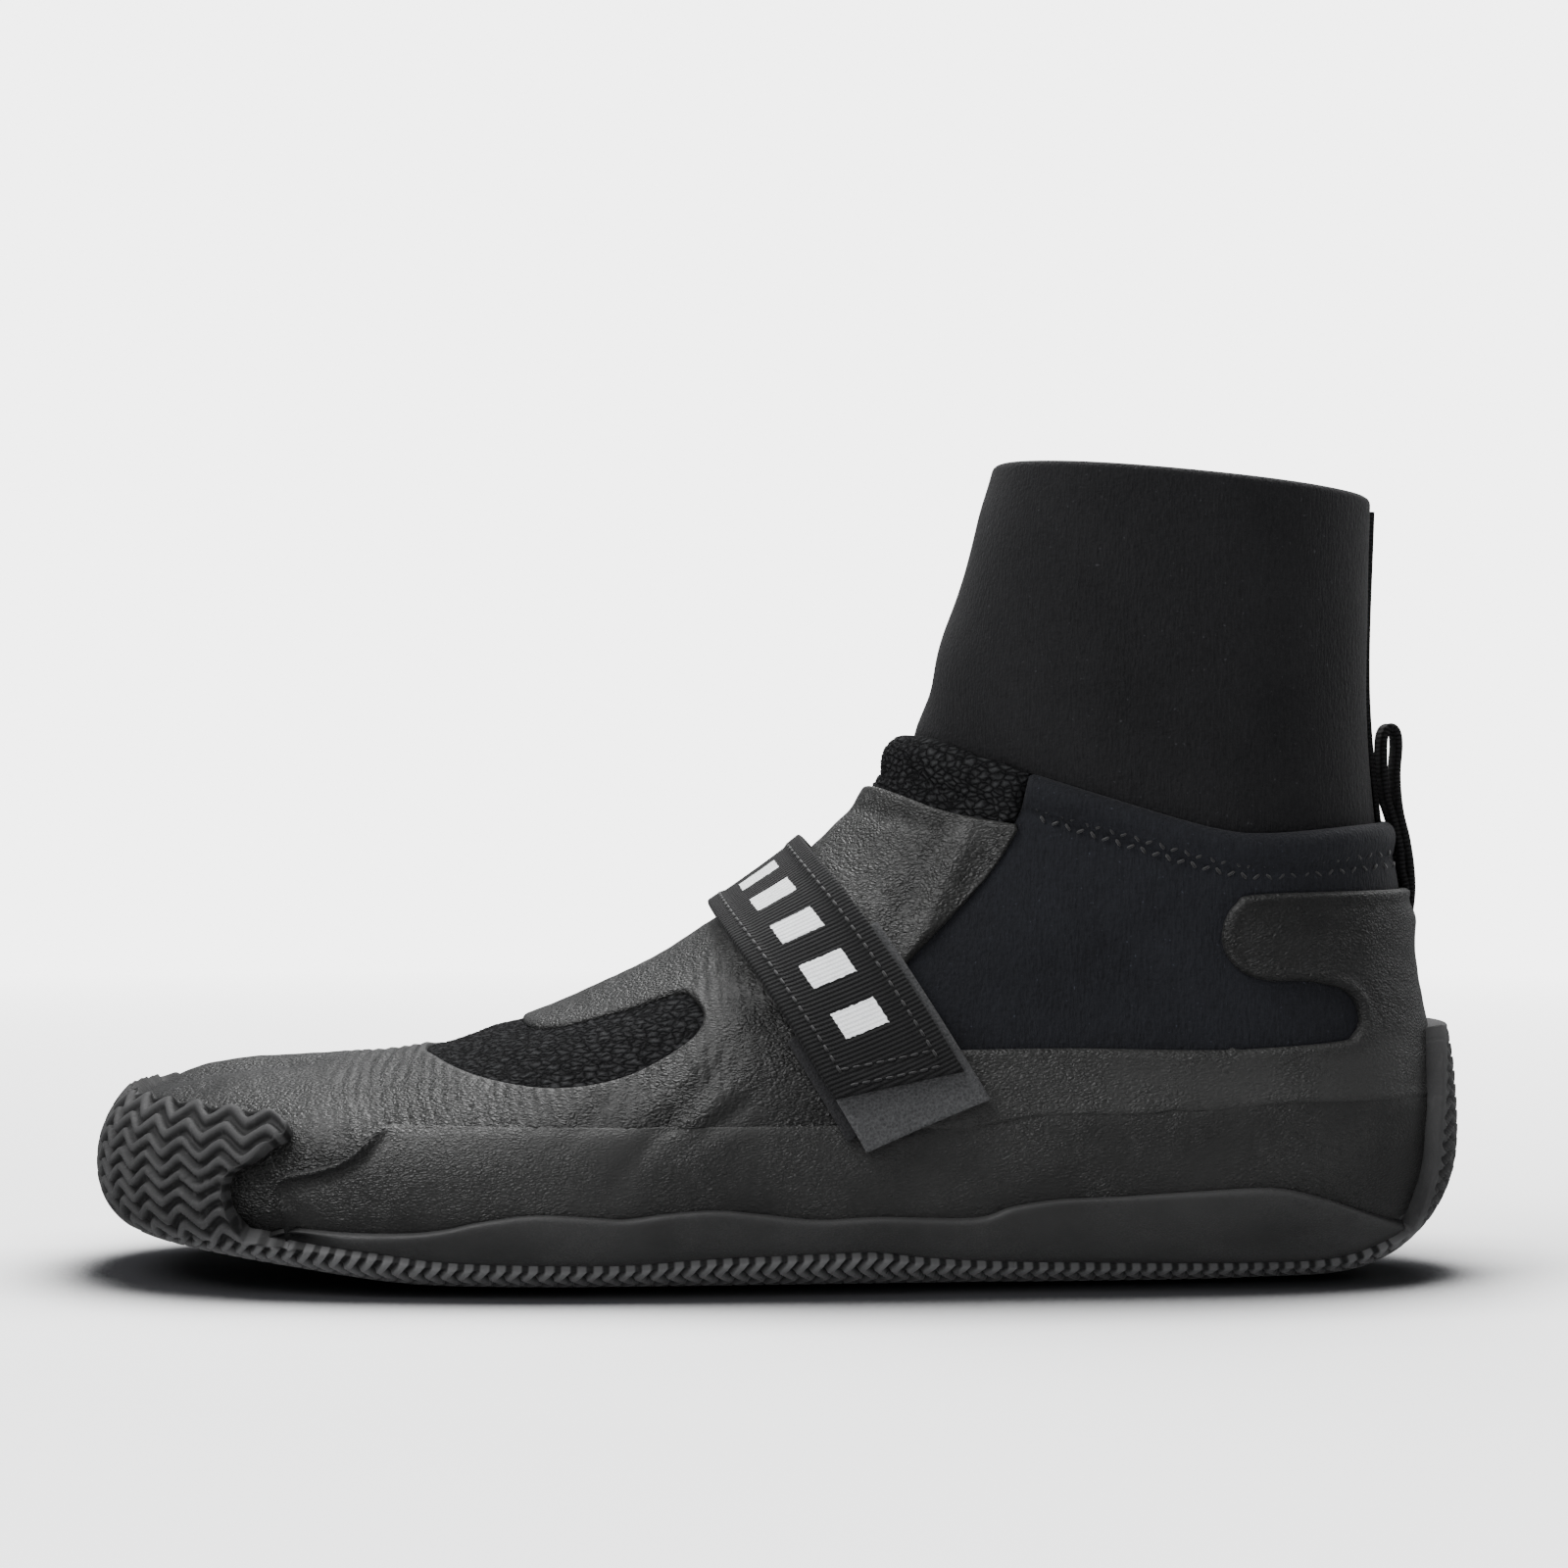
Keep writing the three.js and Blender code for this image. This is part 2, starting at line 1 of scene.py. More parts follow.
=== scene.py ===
import math
import bmesh
import bpy
import numpy as np
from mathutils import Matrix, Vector


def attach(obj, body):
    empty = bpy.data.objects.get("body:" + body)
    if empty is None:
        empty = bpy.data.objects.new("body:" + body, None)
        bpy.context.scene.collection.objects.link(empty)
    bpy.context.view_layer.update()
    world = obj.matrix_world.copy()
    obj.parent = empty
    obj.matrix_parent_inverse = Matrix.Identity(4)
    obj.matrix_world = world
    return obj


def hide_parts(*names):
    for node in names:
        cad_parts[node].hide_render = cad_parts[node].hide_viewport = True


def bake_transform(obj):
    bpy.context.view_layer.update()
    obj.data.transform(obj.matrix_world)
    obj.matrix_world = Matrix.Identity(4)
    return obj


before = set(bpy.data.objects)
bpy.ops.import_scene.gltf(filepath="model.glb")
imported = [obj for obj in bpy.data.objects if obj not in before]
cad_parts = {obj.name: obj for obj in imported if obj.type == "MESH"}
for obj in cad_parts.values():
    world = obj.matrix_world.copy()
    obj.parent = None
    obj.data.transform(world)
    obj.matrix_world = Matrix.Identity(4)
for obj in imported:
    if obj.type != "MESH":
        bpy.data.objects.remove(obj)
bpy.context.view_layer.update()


# ------------------------------------------------------------------ sizes, in millimetres
SHIFT = np.array([1.8, 0.57, 0.0])  # from the drawing's origin to the part's
SOCK = 3.0  # thickness of the neoprene sock
BASE = 7.8  # height of the sock's flat underside above the ground

# Each layer's inner and outer distance from the outside of the sock.
UPPER = (0.2, 2.8)
OVERLAY = (2.7, 4.3)
BAND = (2.9, 4.7)
RAND = (4.4, 6.4)
SOLE = (4.2, 8.2)

# The strap's crest, its way down the boot and its width's way, in the side view.
STRAP_CREST = np.array([-5.0, 75.7 + BASE])
STRAP_WAY = np.array([0.535, -0.845])
STRAP_ACROSS = np.array([0.845, 0.535])
STRAP = (5.9, 7.6)
HOOK_PAD = (6.3, 7.4)
LOOP_PAD = (4.9, 6.0)
STRAP_WIDTH = 25
STRAP_BASE_DROP = 46.0  # crest to the medial fold line
FOLDED = 4.0  # width of the webbing's turned-over edge
PAD_WIDTH = 26.6

# Top x and z, bottom x and z, lateral and medial y, middle y, height of the widest point as a share,
# and the roundness below and above it.
SECTIONS = [
    [-136.2, 15.2, -136.2, 15.2, 9, 9, 9, 0.45, 2.2, 2.2],
    [-134.8, 22, -134.7, 10.4, -8, 25, 9, 0.45, 2.3, 2.3],
    [-129, 27.8, -129.5, 8, -20.5, 33, 8, 0.42, 3, 2.5],
    [-116, 30.6, -117, 6.2, -32, 39, 7, 0.4, 3.8, 2.5],
    [-96, 32.4, -97, 3.4, -39.5, 42.5, 6, 0.4, 4.2, 2.4],
    [-74, 35.6, -75, 0.6, -43.5, 43.8, 5, 0.4, 4.4, 2.1],
    [-49, 43.5, -51, 0, -45, 43.3, 4, 0.36, 4.4, 1.9],
    [-24, 55.2, -26, 0, -43.5, 38.5, 3, 0.31, 4.4, 1.75],
    [0, 71.2, 2, 0, -40.5, 34, 2, 0.26, 4.2, 1.7],
    [14.5, 83.5, 32, 0, -37, 31.5, 1, 0.24, 4, 1.7],
    [20.5, 91.7, 63, 0, -34.5, 31.2, 0.5, 0.25, 3.8, 1.75],
    [24, 98, 95, 0.3, -33, 31.5, 0, 0.28, 3.4, 1.85],
    [26.8, 103, 119, 2.2, -31.5, 30.5, 0, 0.33, 3, 2],
    [28.6, 107.5, 131, 13.5, -31, 30.5, 0, 0.4, 2.6, 2.1],
    [30, 112.5, 132.3, 32, -31.5, 31, 0, 0.45, 2.3, 2.1],
    [31.5, 118, 129, 52, -32, 31.5, 0, 0.48, 2.2, 2.15],
    [33.5, 125, 126.6, 70, -32.5, 32, 0, 0.5, 2.2, 2.2],
    [36, 133.5, 124, 88, -33, 32.5, 0, 0.5, 2.2, 2.2],
    [39.8, 146, 121.8, 115, -33.5, 33, 0, 0.5, 2.2, 2.2],
    [43.8, 160.2, 122.8, 152.5, -34, 33.5, 0, 0.5, 2.2, 2.2],
]
LAST = len(SECTIONS) - 1


# ------------------------------------------------------------------ the sock surface
def section_table():
    """The sections with one more beyond each end, so that the curve has a slope there."""
    rows = np.array(SECTIONS, float)
    second = rows[1]
    turned = second[[2, 3, 0, 1, 5, 4, 6, 7, 9, 8]].copy()
    turned[7] = 1 - second[7]
    beyond = 2 * rows[-1] - rows[-2]
    return np.vstack([turned, rows, beyond])


TABLE = section_table()


def section_at(u):
    """The section at u, from 0 at the toe to LAST at the cuff's rim."""
    u = np.asarray(u, float)
    i = np.clip(np.floor(u).astype(int), 0, LAST - 1)
    f = (u - i)[..., None]
    before, here, after, beyond = (TABLE[i + k] for k in range(4))
    slope_a = (after - before) / 2
    slope_b = (beyond - here) / 2
    bend = 3 * (after - here) - 2 * slope_a - slope_b
    twist = 2 * (here - after) + slope_a + slope_b
    return here + f * (slope_a + f * (bend + f * twist))


def sock(u, t):
    """The outside of the sock: t goes once round from 0 at the bottom, with the lateral side at 1."""
    u, t = np.broadcast_arrays(np.asarray(u, float), np.asarray(t, float))
    row = section_at(u)
    top_x, top_z, low_x, low_z, lateral, medial, middle, belly, low, high = np.moveaxis(row, -1, 0)
    around = np.mod(t, 4)
    edge = np.where(around < 2, lateral, medial)
    rise = np.where(around < 2, around, 4 - around)
    angle = rise * np.pi / 2
    power = 2 / np.where(rise < 1, low, high)
    out = np.abs(np.sin(angle)) ** power
    swing = np.abs(np.cos(angle)) ** power
    height = np.where(rise < 1, belly * (1 - swing), belly + (1 - belly) * swing)
    x = low_x + (top_x - low_x) * height
    z = BASE + low_z + (top_z - low_z) * height
    return np.stack([x, middle + (edge - middle) * out, z], -1)


def sock_normal(u, t):
    step = 0.02
    ahead = np.array([-1.0, 0, 0])  # the very tip of the toe
    u, t = np.broadcast_arrays(np.asarray(u, float), np.asarray(t, float))
    near = np.clip(u - step, 0.0, LAST)
    far = np.clip(u + step, 0.0, LAST)
    along = sock(far, t) - sock(near, t)
    turn = sock(u, t + step) - sock(u, t - step)
    n = np.cross(along, turn)
    size = np.linalg.norm(n, axis=-1, keepdims=True)
    n = np.where(size > 1e-9, n / np.maximum(size, 1e-9), ahead)
    return np.where((u < step)[..., None], ahead, n)


def sock_at(u, t, offset):
    return sock(u, t) + sock_normal(u, t) * offset


def lengths(points, axis=0):
    """How far along a line each of its points is."""
    steps = np.linalg.norm(np.diff(points, axis=axis), axis=-1)
    first = np.zeros_like(np.take(steps, [0], axis=axis))
    return np.concatenate([first, np.cumsum(steps, axis=axis)], axis)


# How far each point is round the boot from the middle of the sole, along its section.
U_CELLS, T_CELLS = 190, 160
ARCS = lengths(sock(np.linspace(0, LAST, U_CELLS + 1)[:, None], np.linspace(0, 4, T_CELLS + 1)[None, :]), 1)


def around_mm(u, t):
    a = np.clip(u / LAST * U_CELLS, 0, U_CELLS - 0.001)
    b = np.mod(t, 4) / 4 * T_CELLS
    i, j = a.astype(int), np.minimum(b.astype(int), T_CELLS - 1)
    f, g = a - i, b - j
    here, ahead = (ARCS[i, k] * (1 - f) + ARCS[i + 1, k] * f for k in (j, j + 1))
    w = here * (1 - g) + ahead * g
    total = ARCS[i, -1] * (1 - f) + ARCS[i + 1, -1] * f
    return np.where(w > total / 2, w - total, w)


def even_sections(u0, u1, pitch):
    """Values of u between u0 and u1 about so many millimetres apart along the boot."""
    u = np.linspace(u0, u1, 800)
    steps = [np.linalg.norm(np.diff(sock(u, t), axis=0), axis=1) for t in range(4)]
    total = np.concatenate([[0], np.cumsum(np.max(steps, axis=0))])
    return np.interp(np.linspace(0, total[-1], max(3, int(total[-1] / pitch))), total, u)


# ------------------------------------------------------------------ outlines in the side view
def curve(points, steps=5):
    """A smooth line through the points."""
    p = np.array(points, float)
    p = np.vstack([2 * p[0] - p[1], p, 2 * p[-1] - p[-2]])
    out = []
    for i in range(1, len(p) - 2):
        for f in np.linspace(0, 1, steps, endpoint=False):
            a, b, c, d = p[i - 1 : i + 3]
            out.append(
                0.5 * (2 * b + (c - a) * f + (2 * a - 5 * b + 4 * c - d) * f * f
                       + (3 * b - a - 3 * c + d) * f**3)
            )
    out.append(p[-2])
    return [tuple(q) for q in out]


def outline_distance(points, outline):
    """Millimetres inside a closed outline, seen from the side, or minus the millimetres outside."""
    poly = np.array(outline, float) + np.array([0, BASE])
    a, b = poly, np.roll(poly, -1, axis=0)
    keep = np.linalg.norm(b - a, axis=1) > 1e-9
    a, b = a[keep], b[keep]
    q = points[:, [0, 2]]
    best = np.full(len(q), 1e9)
    crossings = np.zeros(len(q), int)
    for s, e in zip(a, b):
        d = e - s
        f = np.clip(((q - s) @ d) / (d @ d), 0, 1)
        best = np.minimum(best, np.linalg.norm(q - (s + f[:, None] * d), axis=1))
        above = (s[1] > q[:, 1]) != (e[1] > q[:, 1])
        if s[1] != e[1]:
            at = s[0] + (q[:, 1] - s[1]) * (e[0] - s[0]) / (e[1] - s[1])
            crossings += above & (q[:, 0] < at)
    return np.where(crossings % 2 == 1, best, -best)


FEATHER = [(-150, 17), (-135.5, 10.8), (-129.5, 7.8), (-117, 6), (-97, 3.2), (-75, 0.4), (-51, -0.2),
           (95, 0.1), (119, 2), (129, 9), (150, 16)]
LIP = curve([(-107.6, 4), (-97.6, 2.9), (-82.3, 1.4), (-67, -0.6), (-44.7, -1.3), (-30.1, -1.3),
             (-15.3, -0.2), (11.6, 0.7), (19.6, 0.6), (31.6, -0.9), (51.7, -2.1), (83.8, -2.9),
             (108.8, -2.9), (119.1, -1), (128.5, 3)])
RAND_TOP = curve([(-103.5, 3.9), (-97.8, 5.5), (-86.2, 5), (-74.7, 5.2), (-67.2, 6.1), (-59.8, 7.8),
                  (-49.2, 9.2), (-37.4, 8.6), (-31.4, 8.2), (-22.6, 9.3), (-13.1, 9.8), (-4.3, 8.9),
                  (7, 7.6), (19.4, 8), (38.1, 7.5), (45.9, 9.8), (55.6, 11.2), (67.8, 11.7),
                  (83.8, 12.6), (98.6, 13), (108.8, 10.7), (117.5, 7.5), (128.6, 3.6)])
BAND_FRONT = curve([(-99, -20), (-99.6, 5.5), (-100.4, 9.6), (-102.3, 13.3), (-101.2, 15.6),
                    (-98.6, 17.0), (-93.9, 17.9), (-90.1, 18.8), (-86.3, 20.4), (-83.5, 22.6),
                    (-81.4, 25.0), (-78.6, 26.3), (-72, 26.3)])
BAND_TOP = curve([(-40, 26.2), (11.6, 26.4), (36.2, 26.5), (51, 28.7), (68.9, 28.9), (88.8, 29.9),
                  (105.1, 31.3), (133, 31), (160, 30.8)])
COLLAR = curve([(50, 96.4), (69, 90.5), (87, 85.5), (99.4, 84.5), (125.7, 86.6), (160, 88)])
KNIT_COLLAR = curve([(8, 104.4), (25.4, 104.6), (32.1, 103.4), (39.9, 100), (44.6, 98.6), (50, 96.4)])
QUARTER_FRONT = [(50, 96.4), (48.6, 90), (47.2, 86.5), (44, 84.5), (36.5, 76), (19.5, 58), (10, 40),
                 (10, -30)]
SADDLE = curve([(14, 36), (18, 48), (23.9, 57.1), (41, 75.1), (48.1, 86.1)], 4)[:-1] + curve(
    [(48.1, 86.1), (39.7, 87.5), (31.8, 89.2), (26, 91.4), (19.2, 93.8), (16.2, 93.8), (12.5, 95.5)], 4)
WINDOW = curve([(-80, 52), (-76.2, 40.2), (-71.5, 38), (-59.6, 34.8), (-45.2, 33.4), (-31.5, 35.8),
                (-19.7, 42.1), (-16.2, 46.9), (-18.4, 50.6), (-21.9, 51.5), (-32.1, 48.2),
                (-48.7, 44.1), (-56.6, 46), (-62, 54)])
COUNTER_TOP = curve([(160, 73), (131.8, 72.8), (96.9, 72.3), (91, 70.3), (88.4, 66), (88.4, 61.5),
                     (91, 57.3), (96.9, 54.8), (105.4, 54.6), (113.9, 52.4), (116.9, 47.5),
                     (115.5, 43.8), (111.3, 42.3), (88.5, 40.9), (59, 41.3), (33.4, 41), (19.5, 41)])
TOE_WRAP = curve([(-150, 30.5), (-138.2, 30.3), (-122.5, 29.5), (-112.6, 28.6), (-103.1, 28),
                  (-98.4, 25.6), (-104, 20.6), (-110.9, 15.9), (-110.6, 9), (-107.6, 4)])
HEEL_WRAP = curve([(128.5, 3), (131.4, 14), (132.6, 23.6), (133.5, 31.1), (134.6, 44.4)]) + [(170, 44.4)]

OUTLINES = {
    "vamp": [(-400, -100)] + [(x + 1.2, z - 1.2) for x, z in BAND_FRONT + BAND_TOP if x < 12]
    + [(14, 25)] + SADDLE + [(-400, 95.5)],
    "window": WINDOW,
    "counter": [(13.6, 25)] + [(x, z - 1.4) for x, z in BAND_TOP if x > 15] + COUNTER_TOP[:-1] + [(13.6, 41)],
    "band": BAND_FRONT + BAND_TOP + [(400, -100)],
    "band_top": [(-400, 26.2)] + BAND_TOP + [(400, -100), (-400, -100)],
    "collar_top": [(-400, 96.4)] + COLLAR + [(400, -100), (-400, -100)],
    "knit": KNIT_COLLAR + QUARTER_FRONT[1:] + [(-400, -100), (-400, 104.4)],
    "quarter": COLLAR + [(400, 88), (400, -100)] + QUARTER_FRONT[::-1],
    "rand": RAND_TOP + [(x, z + 0.15) for x, z in LIP[::-1] if x > -103],
    "sole": [(-400, 30.5)] + TOE_WRAP + LIP[1:-1] + HEEL_WRAP + [(400, 44.4), (400, -100), (-400, -100)],
    "feather": [(x, z - 1.5) for x, z in FEATHER] + [(400, 16), (400, 900), (-400, 900), (-400, 17)],
}


# ------------------------------------------------------------------ mesh making
def grid_faces(rows, cols, closed=False):
    """The quads of a grid of points, whose last column may join its first."""
    index = np.arange(rows * cols).reshape(rows, cols)
    here, beside = (index, np.roll(index, -1, axis=1)) if closed else (index[:, :-1], index[:, 1:])
    return np.stack([here[:-1], here[1:], beside[1:], beside[:-1]], -1).reshape(-1, 4)


def with_bmesh(mesh, work):
    bm = bmesh.new()
    bm.from_mesh(mesh)
    work(bm)
    bm.to_mesh(mesh)
    bm.free()


def mesh_object(name, points, faces, flow, weld=0.0, tone=None):
    """A smooth mesh from millimetres. flow and tone drive its material; the second is painted shade in grooves
    and creases, and the dark colour of the band's bead.
    """
    mesh = bpy.data.meshes.new(name)
    verts = (points + SHIFT) / 1000
    mesh.from_pydata(verts.tolist(), [], [tuple(int(i) for i in f) for f in faces])
    layer = mesh.attributes.new("flow", "FLOAT_VECTOR", "POINT")
    layer.data.foreach_set("vector", (np.asarray(flow, np.float32) / 1000).ravel())
    if tone is not None:
        mesh.attributes.new("tone", "FLOAT", "POINT").data.foreach_set("value", np.asarray(tone, np.float32))
    mesh.polygons.foreach_set("use_smooth", [True] * len(mesh.polygons))
    obj = bpy.data.objects.new(name, mesh)
    bpy.context.scene.collection.objects.link(obj)

    def join(bm):
        bmesh.ops.remove_doubles(bm, verts=bm.verts, dist=weld)
        bmesh.ops.dissolve_degenerate(bm, edges=bm.edges, dist=1e-7)

    if weld:
        with_bmesh(mesh, join)
    mesh.update()
    return obj


def cut(uv, value, tris, level):
    """Splits the triangles that cross a level of the value."""
    above = value > level
    flags = above[tris]
    count = flags.sum(1)
    mixed = (count == 1) | (count == 2)
    if not mixed.any():
        return uv, value, tris
    rest, cross = tris[~mixed], tris[mixed]
    flags, count = flags[mixed], count[mixed]
    lone = np.where((count == 1)[:, None], flags, ~flags).argmax(1)
    r = cross[np.arange(len(cross))[:, None], (lone[:, None] + np.arange(3)) % 3]
    edges = np.sort(np.concatenate([r[:, [0, 1]], r[:, [0, 2]]]), 1)
    unique, inverse = np.unique(edges, axis=0, return_inverse=True)
    inverse = inverse.ravel()
    a, b = unique[:, 0], unique[:, 1]
    f = np.clip((level - value[a]) / (value[b] - value[a]), 0, 1)
    uv = np.vstack([uv, uv[a] + f[:, None] * (uv[b] - uv[a])])
    base = len(value)
    value = np.concatenate([value, np.full(len(unique), level)])
    p, q = base + inverse[: len(r)], base + inverse[len(r) :]
    made = [np.stack(corners, 1) for corners in
            ((r[:, 0], p, q), (p, r[:, 1], r[:, 2]), (p, r[:, 2], q))]
    return uv, value, np.concatenate([rest, *made])


def layer_piece(name, inside, inner, outer, u, t, edge=0.8, relief=None, back=False):
    """A sheet of the boot's upper or sole, on a grid of u and t, kept where inside(points) > 0.
    Its edge is rounded over so many millimetres and closes down to the inner distance."""
    middle = (inner + outer) / 2
    uu, tt = np.meshgrid(u, t, indexing="ij")
    uv = np.stack([uu.ravel(), tt.ravel()], 1)
    rows, cols = uu.shape
    index = np.arange(rows * cols).reshape(rows, cols)
    a, b, c, d = index[:-1, :-1], index[:-1, 1:], index[1:, 1:], index[1:, :-1]
    tris = np.concatenate([np.stack(corners, -1).reshape(-1, 3) for corners in ((a, c, b), (a, d, c))])

    def place(uv, offset):
        return sock_at(uv[:, 0], uv[:, 1], np.reshape(offset, (-1, 1)))

    value = inside(place(uv, middle))
    tris = tris[(value[tris] > -3.0).any(1)]
    value = np.where(np.abs(value) < 0.03, 0.0, value)
    for level in (0.0, 0.12 * edge, 0.4 * edge, edge):
        uv, value, tris = cut(uv, value, tris, level)
        if level == 0.0:
            tris = tris[value[tris].mean(1) > 0]
    used, tris = np.unique(tris, return_inverse=True)
    tris = tris.reshape(-1, 3)
    uv, value = uv[used], value[used]
    spread = np.clip(value / edge, 0, 1)
    drop = edge * (1 - np.sqrt(np.clip(1 - (1 - spread) ** 2, 0, 1)))
    height = outer - np.minimum(drop, (outer - inner) * 0.75)
    tone = np.ones(len(uv))
    flow = np.stack([sock(uv[:, 0], uv[:, 1])[:, 0], around_mm(uv[:, 0], uv[:, 1]), value], 1)
    base = place(uv, middle)
    if relief is not None:
        rise = relief(base, flow, uv)
        # Unless the relief gives its own colour, the skin is painted darker where it sinks, as painted shade
        # in grooves and creases.
        rise, tone = rise if isinstance(rise, tuple) else (rise, 1 + np.clip(rise, -1, 0))
        height = height + rise * np.clip(value / edge, 0, 1)
    top = place(uv, height)
    under = place(uv, np.full(len(uv), inner))
    edges = np.concatenate([tris[:, [0, 1]], tris[:, [1, 2]], tris[:, [2, 0]]])
    key = np.sort(edges, 1)
    _, first, counts = np.unique(key, axis=0, return_index=True, return_counts=True)
    rim = edges[first[counts == 1]]
    if not back:
        rim = rim[(value[rim] < 0.05).all(1)]
    n = len(uv)
    faces = [tris] + [np.stack(corners, 1) for corners in
                      ((rim[:, 1], rim[:, 0], rim[:, 0] + n), (rim[:, 1], rim[:, 0] + n, rim[:, 1] + n))]
    if back:
        faces.append(tris[:, ::-1] + n)
    keep, faces = np.unique(np.concatenate(faces), return_inverse=True)
    points, flows = np.vstack([top, under]), np.vstack([flow, flow])
    return mesh_object(name, points[keep], faces.reshape(-1, 3), flows[keep], 2e-6, np.tile(tone, 2)[keep])


def triangle_wave(x):
    return 4 * np.abs(x - np.floor(x + 0.5)) - 1


def smooth_step(a, b, x):
    f = np.clip((x - a) / (b - a), 0, 1)
    return f * f * (3 - 2 * f)


# ------------------------------------------------------------------ material nodes
class Nodes:
    """A short way to write a material's nodes."""

    def __init__(self, name):
        self.material = bpy.data.materials.new(name)
        self.material.use_nodes = True
        self.tree = self.material.node_tree
        self.shader = self.tree.nodes["Principled BSDF"]

    def link(self, source, target):
        if isinstance(source, (int, float, tuple)):
            target.default_value = source
        else:
            self.tree.links.new(source, target)

    def add(self, kind, output, inputs=None, **settings):
        """Adds a node, links or fills its inputs, and gives one of its outputs."""
        node = self.tree.nodes.new("ShaderNode" + kind)
        for key, value in settings.items():
            setattr(node, key, value)
        for key, value in (inputs or {}).items():
            self.link(value, node.inputs[key])
        return node.outputs[output]

    def math(self, operation, a, b=0.0, c=0.0):
        return self.add("Math", 0, {0: a, 1: b, 2: c}, operation=operation)

    def split(self, vector):
        node = self.tree.nodes.new("ShaderNodeSeparateXYZ")
        self.link(vector, node.inputs[0])
        return node.outputs

    def flow(self):
        """Along the piece, across it and in from its edge, in metres."""
        return self.split(self.add("Attribute", "Vector", attribute_name="flow"))

    def tone(self):
        """0 in grooves and creases painted in shade and on the band's dark bead, 1 on a crest."""
        return self.add("Attribute", "Fac", attribute_name="tone")

    def place(self):
        return self.add("TexCoord", "Object")

    def height(self):
        return self.split(self.place())[2]

    def warped(self, place, scale, amount):
        """The place, moved a little by a noise, so that a pattern on it isn't regular."""
        swirl = self.add("TexNoise", "Color", {"Vector": place, "Scale": scale})
        drift = self.add("VectorMath", 0, {0: swirl, "Scale": amount}, operation="SCALE")
        return self.add("VectorMath", 0, {0: place, 1: drift}, operation="ADD")

    def noise(self, vector, scale, detail=3.0, rough=0.55):
        return self.add("TexNoise", "Fac", {"Vector": vector, "Scale": scale, "Detail": detail,
                                            "Roughness": rough})

    def cells(self, vector, scale, feature="DISTANCE_TO_EDGE"):
        return self.add("TexVoronoi", "Distance", {"Vector": vector, "Scale": scale}, feature=feature)

    def stretch(self, vector, x, y, z):
        return self.add("Mapping", "Vector", {"Vector": vector, "Scale": (x, y, z)})

    def ramp(self, value, low, high, out_low=0.0, out_high=1.0):
        return self.add("MapRange", "Result", {"Value": value, "From Min": low, "From Max": high,
                                               "To Min": out_low, "To Max": out_high})

    def mix(self, factor, a, b):
        return self.add("Mix", 2, {0: factor, 6: a, 7: b}, data_type="RGBA")

    def waves(self, value, pitch):
        """A sine of a length in metres, from 0 to 1."""
        turn = self.math("MULTIPLY", value, 2 * math.pi / pitch)
        return self.math("MULTIPLY_ADD", self.math("SINE", turn), 0.5, 0.5)

    def bump(self, height, depth, strength=1.0):
        return self.add("Bump", "Normal", {"Height": height, "Distance": depth, "Strength": strength})

    def finish(self, colour, roughness, normal, sheen=0.0, specular=0.5):
        s = self.shader.inputs
        self.link(colour, s["Base Color"])
        self.link(roughness, s["Roughness"])
        if normal is not None:
            self.link(normal, s["Normal"])
        s["Sheen Weight"].default_value = sheen
        s["Specular IOR Level"].default_value = specular
        return self.material


def rgb(r, g, b):
    return (r, g, b, 1.0)


def times(colour, factor):
    return rgb(*(factor * c for c in colour[:3]))


def jersey(name, colour, bright, scale=1.0):
    """Knitted jersey face of neoprene: fine wales with broken stitches, softly mottled and linty."""
    m = Nodes(name)
    place = m.place()
    wales = m.noise(m.stretch(place, 1.0, 1.0, 0.22), 2100 * scale, 2, 0.6)
    courses = m.noise(m.stretch(place, 0.6, 0.6, 1.0), 1700 * scale, 2, 0.6)
    knit = m.math("MULTIPLY_ADD", courses, 0.45, m.math("MULTIPLY", wales, 0.75))
    patchy = m.noise(place, 38, 5, 0.62)
    lift = m.math("MULTIPLY_ADD", patchy, 0.55, m.math("MULTIPLY", knit, 0.6))
    shade = m.mix(m.ramp(lift, 0.42, 0.88), colour, bright)
    lint = m.ramp(m.noise(place, 1300, 1, 0.4), 0.74, 0.80)
    shade = m.mix(m.math("MULTIPLY", lint, 0.5), shade, times(bright, 4.5))
    return m.finish(shade, 0.84, m.bump(knit, 0.0006, 0.9), sheen=0.02, specular=0.14)


def coarse_knit(name):
    """Stretch knit: uneven rows of loops with open dark gaps."""
    m = Nodes(name)
    place = m.place()
    loops = m.cells(m.stretch(m.warped(place, 500, 0.0007), 0.62, 1.0, 1.25), 640)
    strands = m.noise(m.stretch(place, 1.0, 1.0, 1.8), 2600, 2)
    height = m.math("MULTIPLY_ADD", strands, 0.25, m.math("MULTIPLY", loops, 1.6))
    shade = m.mix(m.ramp(height, 0.12, 0.75), rgb(0.0012, 0.0012, 0.0014), rgb(0.0200, 0.0203, 0.0212))
    return m.finish(shade, 0.9, m.bump(height, 0.0009, 1.0), specular=0.05)


